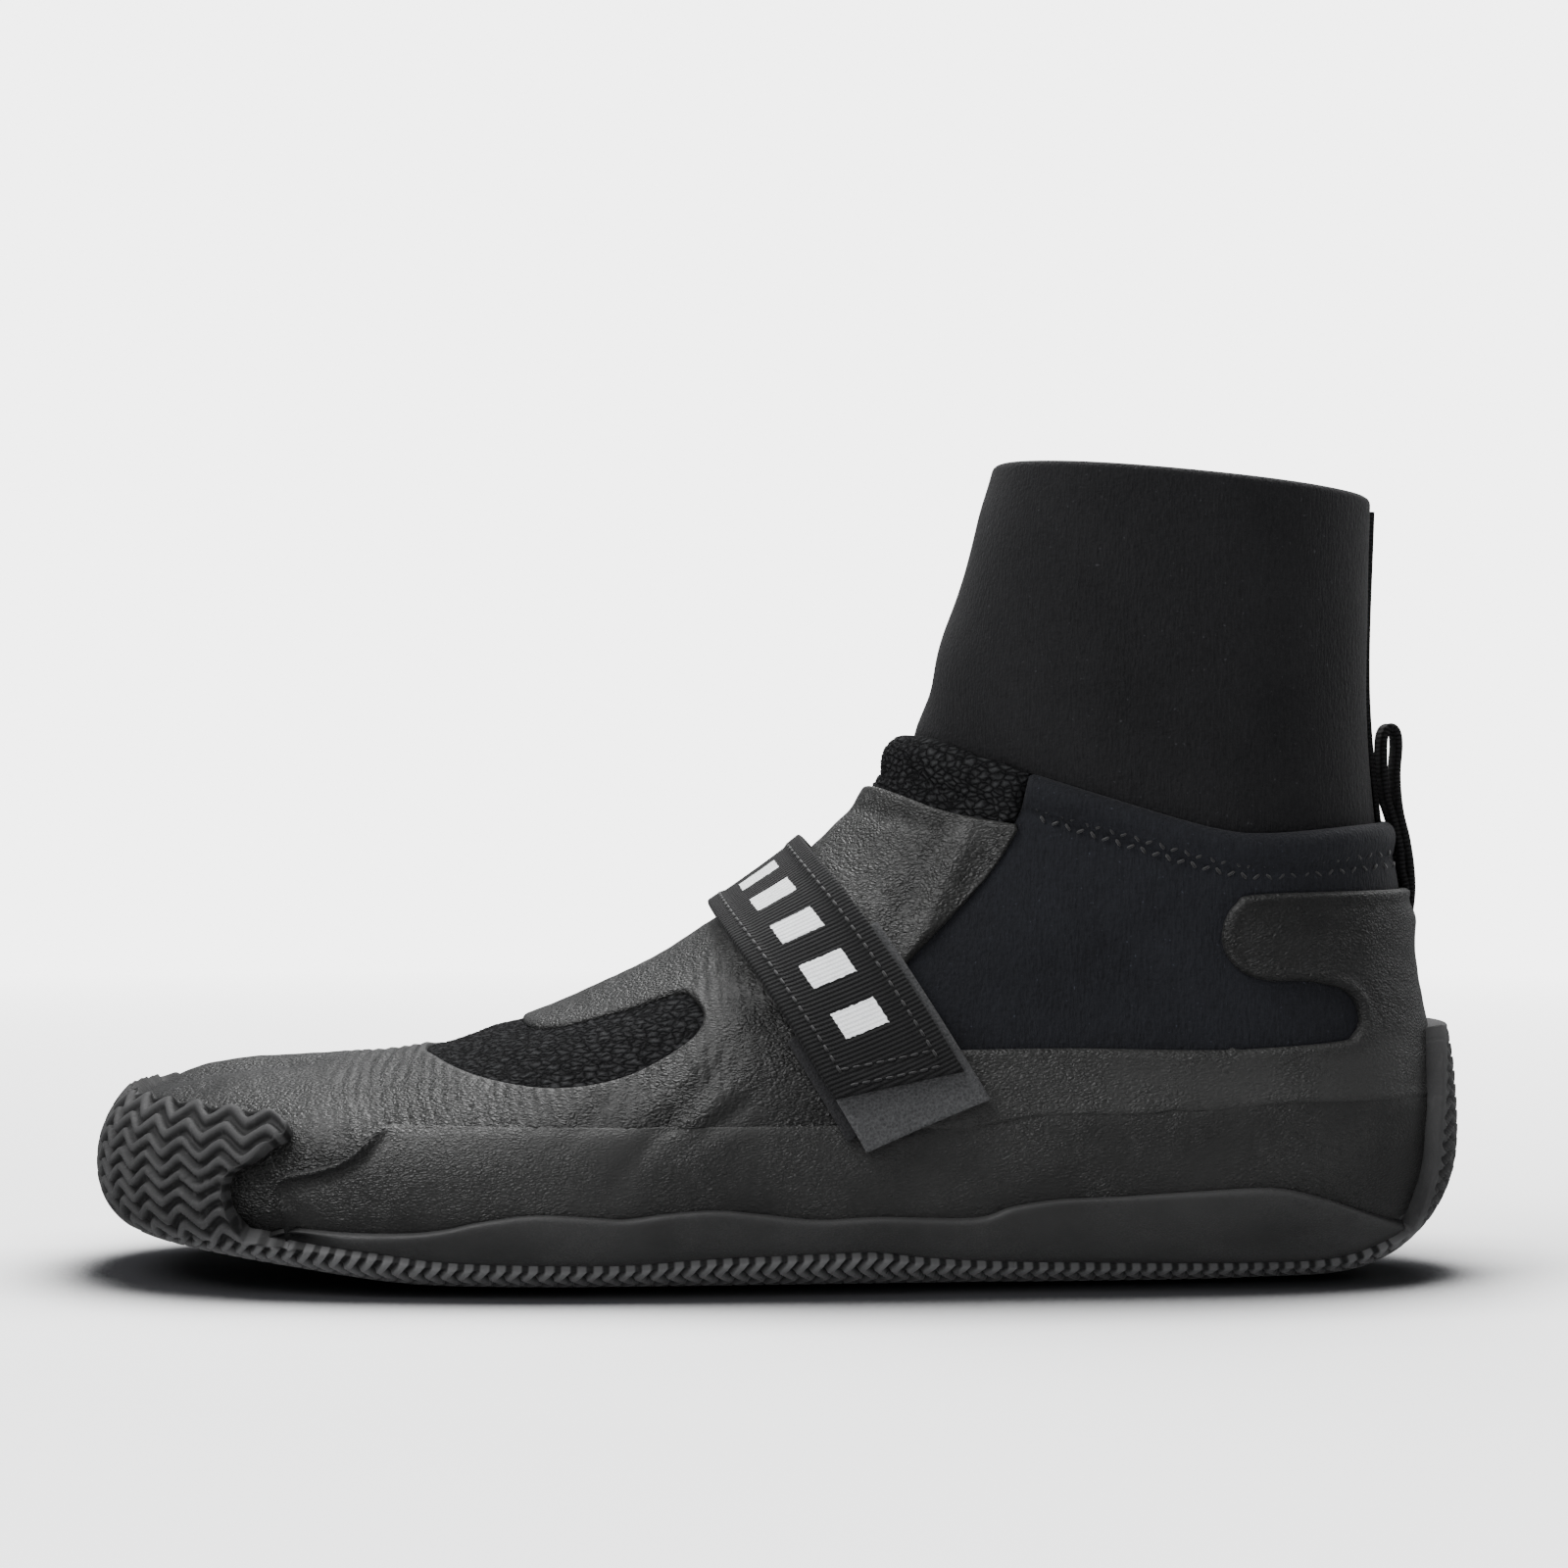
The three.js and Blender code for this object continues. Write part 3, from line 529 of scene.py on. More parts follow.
def rubber_skin(name, dark, light, roughness, grain=1150, depth=0.0007, low=None):
    """Thin rubber skin with a fine wrinkled grain, painted near black as shade in its grooves and creases. low
    holds two heights and the colour that the skin turns to from the upper height down to the lower one, as
    painted light and shade by height."""
    m = Nodes(name)
    place = m.place()
    moved = m.warped(place, 380, 0.0012)
    fine = m.cells(m.stretch(moved, 0.75, 1.0, 1.3), grain)
    worms = m.noise(m.stretch(moved, 0.7, 1.0, 1.3), grain * 1.1, 2, 0.5)
    cloud = m.noise(place, 34, 5, 0.62)
    strength = m.ramp(m.noise(place, 60, 2), 0.35, 0.6, 0.35, 1.0)
    ridge = m.math("MULTIPLY", m.math("ADD", m.math("MINIMUM", fine, 0.35), m.math("MULTIPLY", worms, 0.9)),
                   strength)
    normal = m.bump(ridge, depth, 0.85)
    worn = m.ramp(m.flow()[2], 0.0, 0.0016, 1.0, 0.0)
    shade = m.mix(m.ramp(cloud, 0.34, 0.66), dark, light)
    crest = m.ramp(ridge, 0.35, 0.75)
    shade = m.mix(m.math("MULTIPLY", crest, 0.35), shade, times(light, 1.7))
    shade = m.mix(m.math("MULTIPLY", worn, 0.4), shade, times(light, 1.6))
    if low:
        shade = m.mix(m.ramp(m.height(), low[0], low[1], 1.0, 0.0), shade, low[2])
    # Grooves and creases are painted near black as shade; on the band this gives its front bead its own dark
    # colour.
    shade = m.mix(m.tone(), rgb(0.0012, 0.0012, 0.0012), shade)
    rough = m.math("ADD", m.ramp(cloud, 0.3, 0.7, roughness - 0.06, roughness + 0.08),
                   m.math("MULTIPLY", crest, -0.08))
    return m.finish(shade, rough, normal, specular=0.28)


def moulded(name, dark, light, roughness):
    """Matt moulded sole rubber: grooves painted dark as shade, scuffs, and painted bounce light from the floor
    along the foot of its edge.
    """
    m = Nodes(name)
    place = m.place()
    cloud = m.noise(place, 60, 5, 0.6)
    speck = m.noise(place, 2400, 2)
    shade = m.mix(m.ramp(cloud, 0.3, 0.7), dark, light)
    # Painted bounce light from the floor: the edge is paler towards the ground.
    shade = m.mix(m.ramp(m.height(), 0.007, 0.014, 0.8, 0.0), shade, times(light, 3.0))
    # Painted shade: the grooves between the ribs are darker.
    shade = m.mix(m.ramp(m.tone(), 0.1, 0.85), times(dark, 0.36), shade)
    scuff = m.ramp(m.noise(m.stretch(place, 1, 1, 0.4), 420, 4, 0.7), 0.56, 0.7)
    shade = m.mix(m.math("MULTIPLY", scuff, 0.3), shade, times(light, 1.9))
    normal = m.bump(speck, 0.00008, 0.6)
    rough = m.ramp(cloud, 0.3, 0.7, roughness - 0.05, roughness + 0.06)
    return m.finish(shade, rough, normal, specular=0.25)


def webbing(name, dark, light, stripes=None):
    """Grosgrain webbing: ribs across the tape, with a fine twill on each."""
    m = Nodes(name)
    axes = m.flow()
    place = m.place()
    ribs = m.waves(axes[0], 0.0009)
    ends = m.waves(m.math("ADD", axes[1], m.math("MULTIPLY", ribs, 0.0003)), 0.0006)
    weave = m.math("MULTIPLY_ADD", ends, 0.3, ribs)
    cloud = m.noise(place, 220, 3)
    shade = m.mix(m.ramp(m.math("MULTIPLY_ADD", cloud, 0.5, weave), 0.4, 1.5), dark, light)
    if stripes:
        shade = stripes(m, axes, shade, place)
    return m.finish(shade, 0.8, m.bump(weave, 0.00022, 0.9), sheen=0.02, specular=0.15)


def hook_tape(name, dark, light):
    m = Nodes(name)
    place = m.place()
    rows = m.waves(m.flow()[0], 0.0011)
    specks = m.cells(place, 1900, "F1")
    fuzz = m.noise(place, 1800, 2)
    pile = m.math("MULTIPLY_ADD", rows, 0.1, m.math("MULTIPLY", specks, 0.6))
    height = m.math("MULTIPLY_ADD", fuzz, 1.0, pile)
    shade = m.mix(m.ramp(height, 0.2, 1.2), dark, light)
    return m.finish(shade, 0.88, m.bump(height, 0.0003, 0.8), sheen=0.03, specular=0.15)


def thread(name, colour):
    m = Nodes(name)
    twist = m.noise(m.place(), 3500, 2)
    return m.finish(m.mix(twist, colour, times(colour, 1.8)), 0.7, m.bump(twist, 0.00005, 0.5), sheen=0.1)


def lining(name):
    m = Nodes(name)
    place = m.place()
    loops = m.cells(place, 900)
    cloud = m.noise(place, 70, 3)
    shade = m.mix(m.ramp(cloud, 0.3, 0.7), rgb(0.022, 0.022, 0.025), rgb(0.05, 0.05, 0.055))
    return m.finish(shade, 0.92, m.bump(loops, 0.0003, 0.7), sheen=0.25, specular=0.2)


def bold_bars(m, axes, shade, place):
    """Plain pale bars printed along the webbing's upper face, worn at their edges."""
    frayed = m.math("MULTIPLY", m.math("SUBTRACT", m.noise(place, 1300, 3), 0.5), 0.0007)
    a = m.math("ADD", axes[0], frayed)
    c = m.math("ABSOLUTE", m.math("ADD", axes[1], frayed))
    inside = m.math("MULTIPLY", m.math("LESS_THAN", c, 0.0046), m.math("GREATER_THAN", axes[2], 0.001))
    total = 0.0
    for start in (0.006, 0.018, 0.030, 0.042, 0.054):
        bar = m.math("MULTIPLY", m.math("GREATER_THAN", a, start), m.math("LESS_THAN", a, start + 0.0058))
        total = m.math("ADD", total, bar)
    worn = m.ramp(m.noise(place, 700, 4), 0.2, 0.5, 0.82, 0.97)
    cover = m.math("MULTIPLY", m.math("MULTIPLY", total, inside), worn)
    return m.mix(cover, shade, rgb(0.62, 0.63, 0.64))


M = {
    "cuff": jersey("cuff_jersey", rgb(0.0018, 0.0018, 0.0022), rgb(0.0058, 0.0058, 0.0065)),
    "quarter": jersey("quarter_neoprene", rgb(0.0021, 0.0023, 0.0034), rgb(0.0068, 0.0074, 0.0098), 0.85),
    "knit": coarse_knit("stretch_knit"),
    # The vamp is painted darker below its low heights, as painted shade on its lower side.
    "overlay": rubber_skin("overlay_rubber", rgb(0.0056, 0.0056, 0.0054), rgb(0.0112, 0.0112, 0.0108), 0.50,
                           low=(0.058, 0.076, rgb(0.0046, 0.0046, 0.0044))),
    # The counter's low strip, which faces a little upward, is painted paler as painted light.
    "counter": rubber_skin("counter_rubber", rgb(0.0034, 0.0034, 0.0033), rgb(0.0062, 0.0062, 0.0061), 0.54,
                           low=(0.046, 0.058, rgb(0.0155, 0.0155, 0.0151))),
    "band": rubber_skin("band_rubber", rgb(0.0066, 0.0066, 0.0064), rgb(0.0118, 0.0118, 0.0115), 0.5,
                        grain=1350, depth=0.00045),
    "rand": rubber_skin("rand_rubber", rgb(0.0115, 0.0115, 0.0116), rgb(0.0165, 0.0165, 0.0166), 0.62,
                        grain=2300, depth=0.00014),
    "sole": moulded("sole_rubber", rgb(0.0165, 0.0165, 0.0169), rgb(0.0260, 0.0260, 0.0265), 0.72),
    "webbing": webbing("webbing", rgb(0.0016, 0.0016, 0.0018), rgb(0.0068, 0.0068, 0.0072)),
    "printed": webbing("webbing_printed", rgb(0.0016, 0.0016, 0.0018), rgb(0.0068, 0.0068, 0.0072),
                       stripes=bold_bars),
    "hook": hook_tape("hook_tape", rgb(0.010, 0.010, 0.0105), rgb(0.042, 0.0425, 0.044)),
    "loop": hook_tape("loop_tape", rgb(0.0035, 0.0035, 0.004), rgb(0.012, 0.012, 0.013)),
    "thread": thread("thread", rgb(0.0016, 0.0016, 0.002)),
    "lining": lining("lining"),
}


def dress(obj, material, body, slot, *nodes):
    obj.data.materials.clear()
    obj.data.materials.append(M[material])
    if body:
        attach(obj, body)
    if nodes:
        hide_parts(*nodes)
    return obj


# ------------------------------------------------------------------ camera, light and floor
camera_data = bpy.data.cameras.new("camera")
camera = bpy.data.objects.new("camera", camera_data)
bpy.context.scene.collection.objects.link(camera)
camera.location = (SHIFT[0] / 1000, -0.8, 0.1022)
camera.rotation_euler = (math.radians(90), 0, 0)
camera_data.lens = 36 * 800 / 329.6
camera_data.sensor_width = 36
camera_data.clip_start = 0.01
bpy.context.scene.camera = camera


def area_light(name, place, target, size, power):
    data = bpy.data.lights.new(name, "AREA")
    data.energy = power
    data.size = size
    light = bpy.data.objects.new(name, data)
    bpy.context.scene.collection.objects.link(light)
    light.location = place
    light.rotation_euler = (Vector(target) - Vector(place)).to_track_quat("-Z", "Y").to_euler()


area_light("key", (-0.75, -0.45, 1.1), (0, 0, 0.05), 0.8, 31)
area_light("front", (-0.35, -1.6, 1.0), (0, 0, 0.06), 0.9, 10)
area_light("top", (0.2, 0.5, 1.25), (0, 0, 0.05), 0.9, 46)
area_light("rim", (1.1, 0.5, 0.6), (0.05, 0, 0.1), 0.6, 4)

# The studio is pale to the camera and soft and dim to the boot.
BACKDROP = 4.9
world = bpy.data.worlds.new("studio")
world.use_nodes = True
sky = world.node_tree
seen = sky.nodes["Background"]
seen.inputs[0].default_value = (1, 1, 1, 1)
seen.inputs[1].default_value = BACKDROP
lit = sky.nodes.new("ShaderNodeBackground")
lit.inputs[0].default_value = (0.96, 0.98, 1.0, 1)
lit.inputs[1].default_value = 0.35
path = sky.nodes.new("ShaderNodeLightPath")
either = sky.nodes.new("ShaderNodeMixShader")
sky.links.new(path.outputs["Is Camera Ray"], either.inputs[0])
sky.links.new(lit.outputs[0], either.inputs[1])
sky.links.new(seen.outputs[0], either.inputs[2])
sky.links.new(either.outputs[0], sky.nodes["World Output"].inputs[0])
bpy.context.scene.world = world

floor_mesh = bpy.data.meshes.new("floor")
floor_mesh.from_pydata([(-9, -9, 0), (9, -9, 0), (9, 9, 0), (-9, 9, 0)], [], [(0, 1, 2, 3)])
floor = bpy.data.objects.new("floor", floor_mesh)
bpy.context.scene.collection.objects.link(floor)
pale = Nodes("floor_pale")
# Its contact shadow is deepened where it is seen, and left out of the light that it throws back.
contact = pale.add("AmbientOcclusion", "AO", {"Distance": 0.06})
bounce = pale.math("SUBTRACT", 1.0, pale.add("LightPath", "Is Camera Ray"))
open_floor = pale.math("MAXIMUM", bounce, pale.ramp(contact, 0.58, 0.95))
pale.finish(pale.mix(open_floor, rgb(0.02, 0.02, 0.022), rgb(0.86, 0.862, 0.865)), 0.9, None, specular=0.05)
reach = pale.add("VectorMath", "Value", {0: pale.place()}, operation="LENGTH")
glow = pale.add("Emission", 0, {"Color": (1, 1, 1, 1), "Strength": BACKDROP})
blended = pale.add("MixShader", 0, {0: pale.ramp(reach, 0.2, 1.3), 1: pale.shader.outputs[0], 2: glow})
pale.link(blended, pale.tree.nodes["Material Output"].inputs[0])
floor_mesh.materials.append(pale.material)
floor.visible_glossy = False


# ------------------------------------------------------------------ sock and cuff
def sock_and_cuff():
    """The sock's outside, its rounded rim and its inside, as one closed skin."""
    u, t = np.meshgrid(even_sections(0, LAST, 2.0), np.linspace(0, 4, 121)[:-1], indexing="ij")
    p, n = sock(u, t), sock_normal(u, t)
    swell = 0.35 * np.sin(u * 2.1 + 3 * np.sin(t * 1.6)) * smooth_step(11, 13, u)
    swell *= 1 - smooth_step(18.2, 18.9, u)
    outer, inner = p + n * swell[..., None], p - n * SOCK
    up = p[-1] - p[-2]
    up /= np.linalg.norm(up, axis=1, keepdims=True)
    mid = (outer[-1] + inner[-1]) / 2
    half = np.linalg.norm(outer[-1] - inner[-1], axis=1, keepdims=True) / 2
    rim = [mid + half * (n[-1] * np.cos(a) + up * np.sin(a)) for a in np.linspace(0, np.pi, 9)[1:-1]]
    stack = np.concatenate([outer, np.array(rim), inner[::-1]])
    w = around_mm(u, t)
    flow = np.stack([p[..., 0], w, np.full_like(w, 9)], -1)
    flow = np.concatenate([flow, np.repeat(flow[-1:], len(rim), 0), flow[::-1]])
    faces = grid_faces(*stack.shape[:2], closed=True)[:, ::-1]
    return mesh_object("sock_and_cuff", stack.reshape(-1, 3), faces, flow.reshape(-1, 3), 1e-6)


cuff = sock_and_cuff()
dress(cuff, "cuff", None, "cuff_jersey", "inner_sock", "ankle_cuff")
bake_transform(cuff)


# ------------------------------------------------------------------ upper
def y_side(points, lateral):
    return (-points[:, 1] if lateral else points[:, 1]) - 0.1


def above_feather(points):
    return outline_distance(points, OUTLINES["feather"])


def in_outline(key, *others):
    def inside(points):
        value = outline_distance(points, OUTLINES[key])
        for other in others:
            value = np.minimum(value, other(points))
        return value

    return inside


def knit_bumps(base, flow):
    wobble = 0.5 * np.sin(flow[:, 1] * 0.9) + 0.3 * np.sin(base[:, 0] * 0.31 + flow[:, 1] * 2.3)
    rows = np.sin(2 * np.pi * (base[:, 0] + wobble) / 2.1)
    return 0.26 * rows * np.sin(2 * np.pi * (flow[:, 1] + 0.4 * np.sin(base[:, 0])) / 2.4)


def window_relief(base, flow, uv):
    # The knit swells where no rubber holds it down.
    return 0.9 * smooth_step(0, 9, outline_distance(base, WINDOW)) + knit_bumps(base, flow)


def knit_collar_relief(base, flow, uv):
    # The knit collar is turned over into a roll.
    collar = outline_distance(base, [(-400, 104.4)] + KNIT_COLLAR + [(60, 60), (-400, 60)])
    roll = 1.5 * np.exp(-(((collar - 4.2) / 3.2) ** 2)) - 0.5 * np.exp(-(((collar - 8.6) / 0.8) ** 2))
    return roll + knit_bumps(base, flow)


def near_window(points):
    return outline_distance(points, OUTLINES["window"]) + 2.0


def over_saddle(points):
    return points[:, 2] - BASE - 80


window = layer_piece("knit_window", near_window, UPPER[0], UPPER[1] + 0.5,
                     even_sections(4.2, 9.2, 0.5), np.linspace(0.8, 3.2, 241), 1.0, window_relief)
dress(window, "knit", "boot", "stretch_knit", "knit_upper")
knit = layer_piece("knit_collar", in_outline("knit", over_saddle), UPPER[0], UPPER[1],
                   even_sections(9, 16, 0.6), np.linspace(0.6, 3.4, 221), 1.3, knit_collar_relief, back=True)
dress(knit, "knit", "boot", "stretch_knit")


def quarter_relief(base, flow, uv):
    top = outline_distance(base, OUTLINES["collar_top"])
    roll = 1.0 * np.exp(-(((top - 3.2) / 2.8) ** 2))
    groove = -0.45 * np.exp(-(((top - 7.6) / 0.9) ** 2))
    soft = 0.35 * np.sin(base[:, 0] * 0.11 + base[:, 2] * 0.07) * np.sin(base[:, 2] * 0.13)
    return roll + groove + soft


for half, lateral in (("lateral", True), ("medial", False)):
    t = np.linspace(0, 2, 131) if lateral else np.linspace(2, 4, 131)
    quarter = layer_piece(
        f"quarter_{half}", in_outline("quarter", above_feather, lambda p, s=lateral: y_side(p, s)),
        UPPER[0], UPPER[1], even_sections(8, 18.2, 1.0), t, 1.3, quarter_relief)
    dress(quarter, "quarter", "boot", "neoprene", f"quarter_{half}")


# ------------------------------------------------------------------ rubber overlays
def vamp_inside(points):
    value = outline_distance(points, OUTLINES["vamp"])
    value = np.minimum(value, -outline_distance(points, OUTLINES["window"]))
    return np.minimum(value, above_feather(points))


CREASES = [((-34, 15), (-11, 39), 1.0, 2.2), ((-27, 17), (-4, 33), 0.55, 1.8),
           ((-44, 22), (-33, 33), 0.4, 1.8), ((24, 55), (39.5, 88), -2.0, 2.7), ((14, 89), (34, 86), 0.8, 1.8)]


def creases(base):
    """Soft folds pressed into the rubber, or raised where the depth is negative."""
    height = np.zeros(len(base))
    q = base[:, [0, 2]]
    for (x0, z0), (x1, z1), depth, width in CREASES:
        a, b = np.array([x0, z0 + BASE]), np.array([x1, z1 + BASE])
        f = np.clip(((q - a) @ (b - a)) / ((b - a) @ (b - a)), 0, 1)
        gap = np.linalg.norm(q - (a + f[:, None] * (b - a)), axis=1)
        fade = np.sin(np.pi * np.clip(f, 0.04, 0.96)) ** 0.6
        height -= 0.55 * depth * np.exp(-((gap / width) ** 2)) * fade
        height += 0.3 * depth * np.exp(-(((gap - 2.1 * width) / (1.3 * width)) ** 2)) * fade
    return height


def vamp_relief(base, flow, uv):
    x, y, z = base.T
    # Where this relief sinks, in creases, the toe valley and rib troughs, the vamp is painted darker as shade.
    height = creases(base)
    valley = np.exp(-(((y + 4) / 6) ** 2)) * smooth_step(-134, -122, x) * (1 - smooth_step(-108, -88, x))
    height -= 1.1 * valley * (z > 30)
    big_toe = np.exp(-(((y - 12) / 12) ** 2)) * smooth_step(-133, -122, x) * (1 - smooth_step(-104, -80, x))
    height += 1.0 * big_toe * (z > 30)
    # The knit's cross ribs show through the thin rubber in patches.
    patch = np.zeros(len(x))
    for cx, cz, r in ((-78, 33, 15), (-52, 31, 11), (-33, 33, 13), (-14, 41, 9), (-8, 52, 12), (4, 66, 8)):
        patch = np.maximum(patch, np.exp(-(((x - cx) ** 2 + (z - BASE - cz) ** 2) / r**2) ** 2))
    lean = x + 0.22 * (z - 40) + 0.6 * np.sin(z * 0.35) + 0.3 * np.sin(z * 1.1 + x * 0.4)
    height += 0.17 * patch * np.sin(2 * np.pi * lean / 2.6)
    height += 0.15 * np.sin(x * 0.21 + z * 0.16) * np.sin(z * 0.19 - x * 0.05)
    height += 0.05 * np.sin(x * 0.83 + 2 * np.sin(z * 0.3)) * np.sin(z * 0.71 + x * 0.2)
    return height


vamp = layer_piece("vamp_overlay", vamp_inside, OVERLAY[0], OVERLAY[1],
                   even_sections(0, 14, 0.75), np.linspace(0, 4, 321), 0.8, vamp_relief)
dress(vamp, "overlay", "boot", "overlay_rubber", "vamp_overlay")


def counter_relief(base, flow, uv):
    x, y, z = base.T
    lip = 0.5 * np.exp(-(((flow[:, 2] - 1.2) / 0.9) ** 2))
    tab = 1.2 * np.exp(-(((z - BASE - 66) / 3.2) ** 2) - (y / 10) ** 2) * (x > 110)
    soft = 0.12 * np.sin(x * 0.17 + z * 0.21) * np.sin(z * 0.23)
    return lip + tab + soft + 0.04 * np.sin(z * 1.1 + np.sin(x * 0.5))


counter = layer_piece("heel_counter_overlay", in_outline("counter"), OVERLAY[0], OVERLAY[1],
                      even_sections(8.0, 17.4, 1.0), np.linspace(-1.9, 1.9, 261), 0.8, counter_relief)
dress(counter, "counter", "boot", "overlay_rubber", "heel_counter_overlay")


def band_relief(base, flow, uv):
    # A raised dark bead runs along the band's front edge, with a groove beside it.
    x, _, z = base.T
    edge = outline_distance(base, OUTLINES["band"])
    top = outline_distance(base, OUTLINES["band_top"])
    front = 1 - smooth_step(-83, -76, x)
    bead = 1.5 * np.exp(-(((edge - 1.0) / 0.8) ** 2)) * front
    groove = -0.5 * np.exp(-(((edge - 2.7) / 0.7) ** 2)) * front
    tone = 1 - 0.9 * np.exp(-(((edge - 0.9) / 0.9) ** 4)) * front
    # Along its top the band thins out until it lies almost level with the vamp.
    thin = -0.3 * (1 - smooth_step(0.2, 2.2, top)) * (1 - front)
    soft = 0.15 * np.sin(x * 0.09 + z * 0.2) * np.sin(z * 0.17 + 1)
    return bead + groove + thin + soft + 0.8 * creases(base), tone


def rand_relief(base, flow, uv):
    # The rand rises out of the upper behind the toe.
    x, _, z = base.T
    # Where it sinks into the upper at the front, its colour is painted near black as shade.
    return 0.15 * np.sin(x * 0.08) * np.sin(z * 0.4) - 1.7 * (1 - smooth_step(-104, -84, x))


for half, lateral in (("lateral", True), ("medial", False)):
    t = np.linspace(0, 2, 131) if lateral else np.linspace(2, 4, 131)
    band = layer_piece(
        f"side_band_{half}", in_outline("band", above_feather, lambda p, s=lateral: y_side(p, s)),
        BAND[0], BAND[1], even_sections(2, 15.6, 1.1), t, 0.8, band_relief)
    dress(band, "band", "boot", "band_rubber", f"side_band_{half}")
    t = np.linspace(0, 1.5, 131) if lateral else np.linspace(2.5, 4, 131)
    rand = layer_piece(
        f"rand_{half}", in_outline("rand", lambda p, s=lateral: y_side(p, s)),
        RAND[0], RAND[1], even_sections(2, 14.5, 1.0), t, 0.9, rand_relief)
    dress(rand, "rand", "boot", "sole_rubber", f"rand_{half}")


# ------------------------------------------------------------------ outsole
RIB_PITCH = 3.2
ZIGZAG = 7.6


def lip_arc(u):
    """How far round from the middle of the sole the outsole's lip lies on each section."""
    t = np.linspace(0.02, 1.6, 400)
    out = []
    for value in u:
        p = sock(value, t) + sock_normal(value, t) * 7.0
        lip = np.interp(p[:, 0], [q[0] for q in LIP], [q[1] + BASE for q in LIP])
        over = np.argmax(p[:, 2] > lip)
        out.append(around_mm(np.array([value]), np.array([t[over]]))[0])
    return np.array(out)


LIP_U = np.linspace(0, LAST, 400)
LIP_ARC = np.interp(LIP_U, LIP_U[18:300], lip_arc(LIP_U[18:300]))


def round_toe(x, y):
    return np.where(x < -100, 40 * np.arctan2(y - 8, -(x + 100)), np.sign(y - 8) * (63 + x + 100))


def toe_wave(reach):
    return 0.55 * triangle_wave(reach / ZIGZAG) - 0.5 * np.cos(2 * np.pi * reach / ZIGZAG)


def sole_relief(base, flow, uv):
    x, y, z = base.T
    # Transverse zigzag ribs under the boot, with a chevron on its edge.
    below_lip = np.interp(uv[:, 0], LIP_U, LIP_ARC) - np.abs(flow[:, 1])
    tread = x + 1.25 * triangle_wave(below_lip / 5.8)
    rib_tread = smooth_step(-0.8, 0.5, np.sin(2 * np.pi * tread / RIB_PITCH))
    # Wavy ribs round the toe and up the heel.
    reach = round_toe(x, y)
    toe = z + 1.25 * toe_wave(reach) + 0.03 * (x + 140) + 0.15 * np.sin(x * 0.7 + z * 0.5)
    rib_toe = smooth_step(-0.75, 0.65, np.sin(2 * np.pi * toe / RIB_PITCH))
    heel = z + 1.0 * triangle_wave(y / ZIGZAG)
    rib_heel = smooth_step(-0.6, 0.5, np.sin(2 * np.pi * heel / 2.7))
    rib_heel = 1 - (1 - rib_heel) * smooth_step(0.6, 2.2, flow[:, 2])
    lip = np.interp(x, [p[0] for p in LIP], [p[1] + BASE for p in LIP])
    on_toe = smooth_step(-1.2, 0.4, z - lip) * (x < -96)
    on_heel = smooth_step(-1.2, 0.4, z - lip) * (x > 124)
    rib = rib_tread * (1 - on_toe) * (1 - on_heel) + rib_toe * on_toe + rib_heel * on_heel
    # Every rib has a rounded crest and its height varies a little.
    uneven = 0.12 * np.sin(x * 0.9 + z * 1.3) * np.sin(z * 0.8 - y * 0.5)
    # The rib value also paints the grooves between the ribs darker as shade.
    return (-1.35 + uneven) * (1 - rib), rib


def sole_inside(points):
    # The toe wrap's top edge follows the wave of its ribs.
    x, y, z = points.T
    wave = 0.5 * toe_wave(round_toe(x, y)) * (x < -99) * smooth_step(24, 28, z)
    shifted = np.stack([x, y, z + wave], 1)
    return outline_distance(shifted, OUTLINES["sole"])


TOE_U = 4.0
SOLE_PARTS = (
    ("outsole_toe", even_sections(0, TOE_U, 0.45), np.linspace(-2, 2, 481)),
    ("outsole_lateral", even_sections(TOE_U, 15.8, 0.42), np.linspace(0.5, 1.25, 60)),
    ("outsole_medial", even_sections(TOE_U, 15.8, 0.42), np.linspace(-1.25, -0.5, 60)),
    ("outsole_tread", even_sections(TOE_U, 15.8, 0.64), np.linspace(-0.5, 0.5, 135)),
)
for part, u, t in SOLE_PARTS:
    sole = layer_piece(part, sole_inside, SOLE[0], SOLE[1], u, t, 0.7, sole_relief)
    for v in sole.data.vertices:
        v.co.z = max(v.co.z, 0.0)
    dress(sole, "sole", "boot", "sole_rubber", *(["outsole"] if part == "outsole_toe" else []))


midsole = layer_piece("midsole", lambda points: 1.0 - above_feather(points), 0.4, 4.6,
                      even_sections(0, 14, 3.0), np.linspace(-1.2, 1.2, 61), 0.5)
dress(midsole, "sole", "boot", "sole_rubber", "midsole")


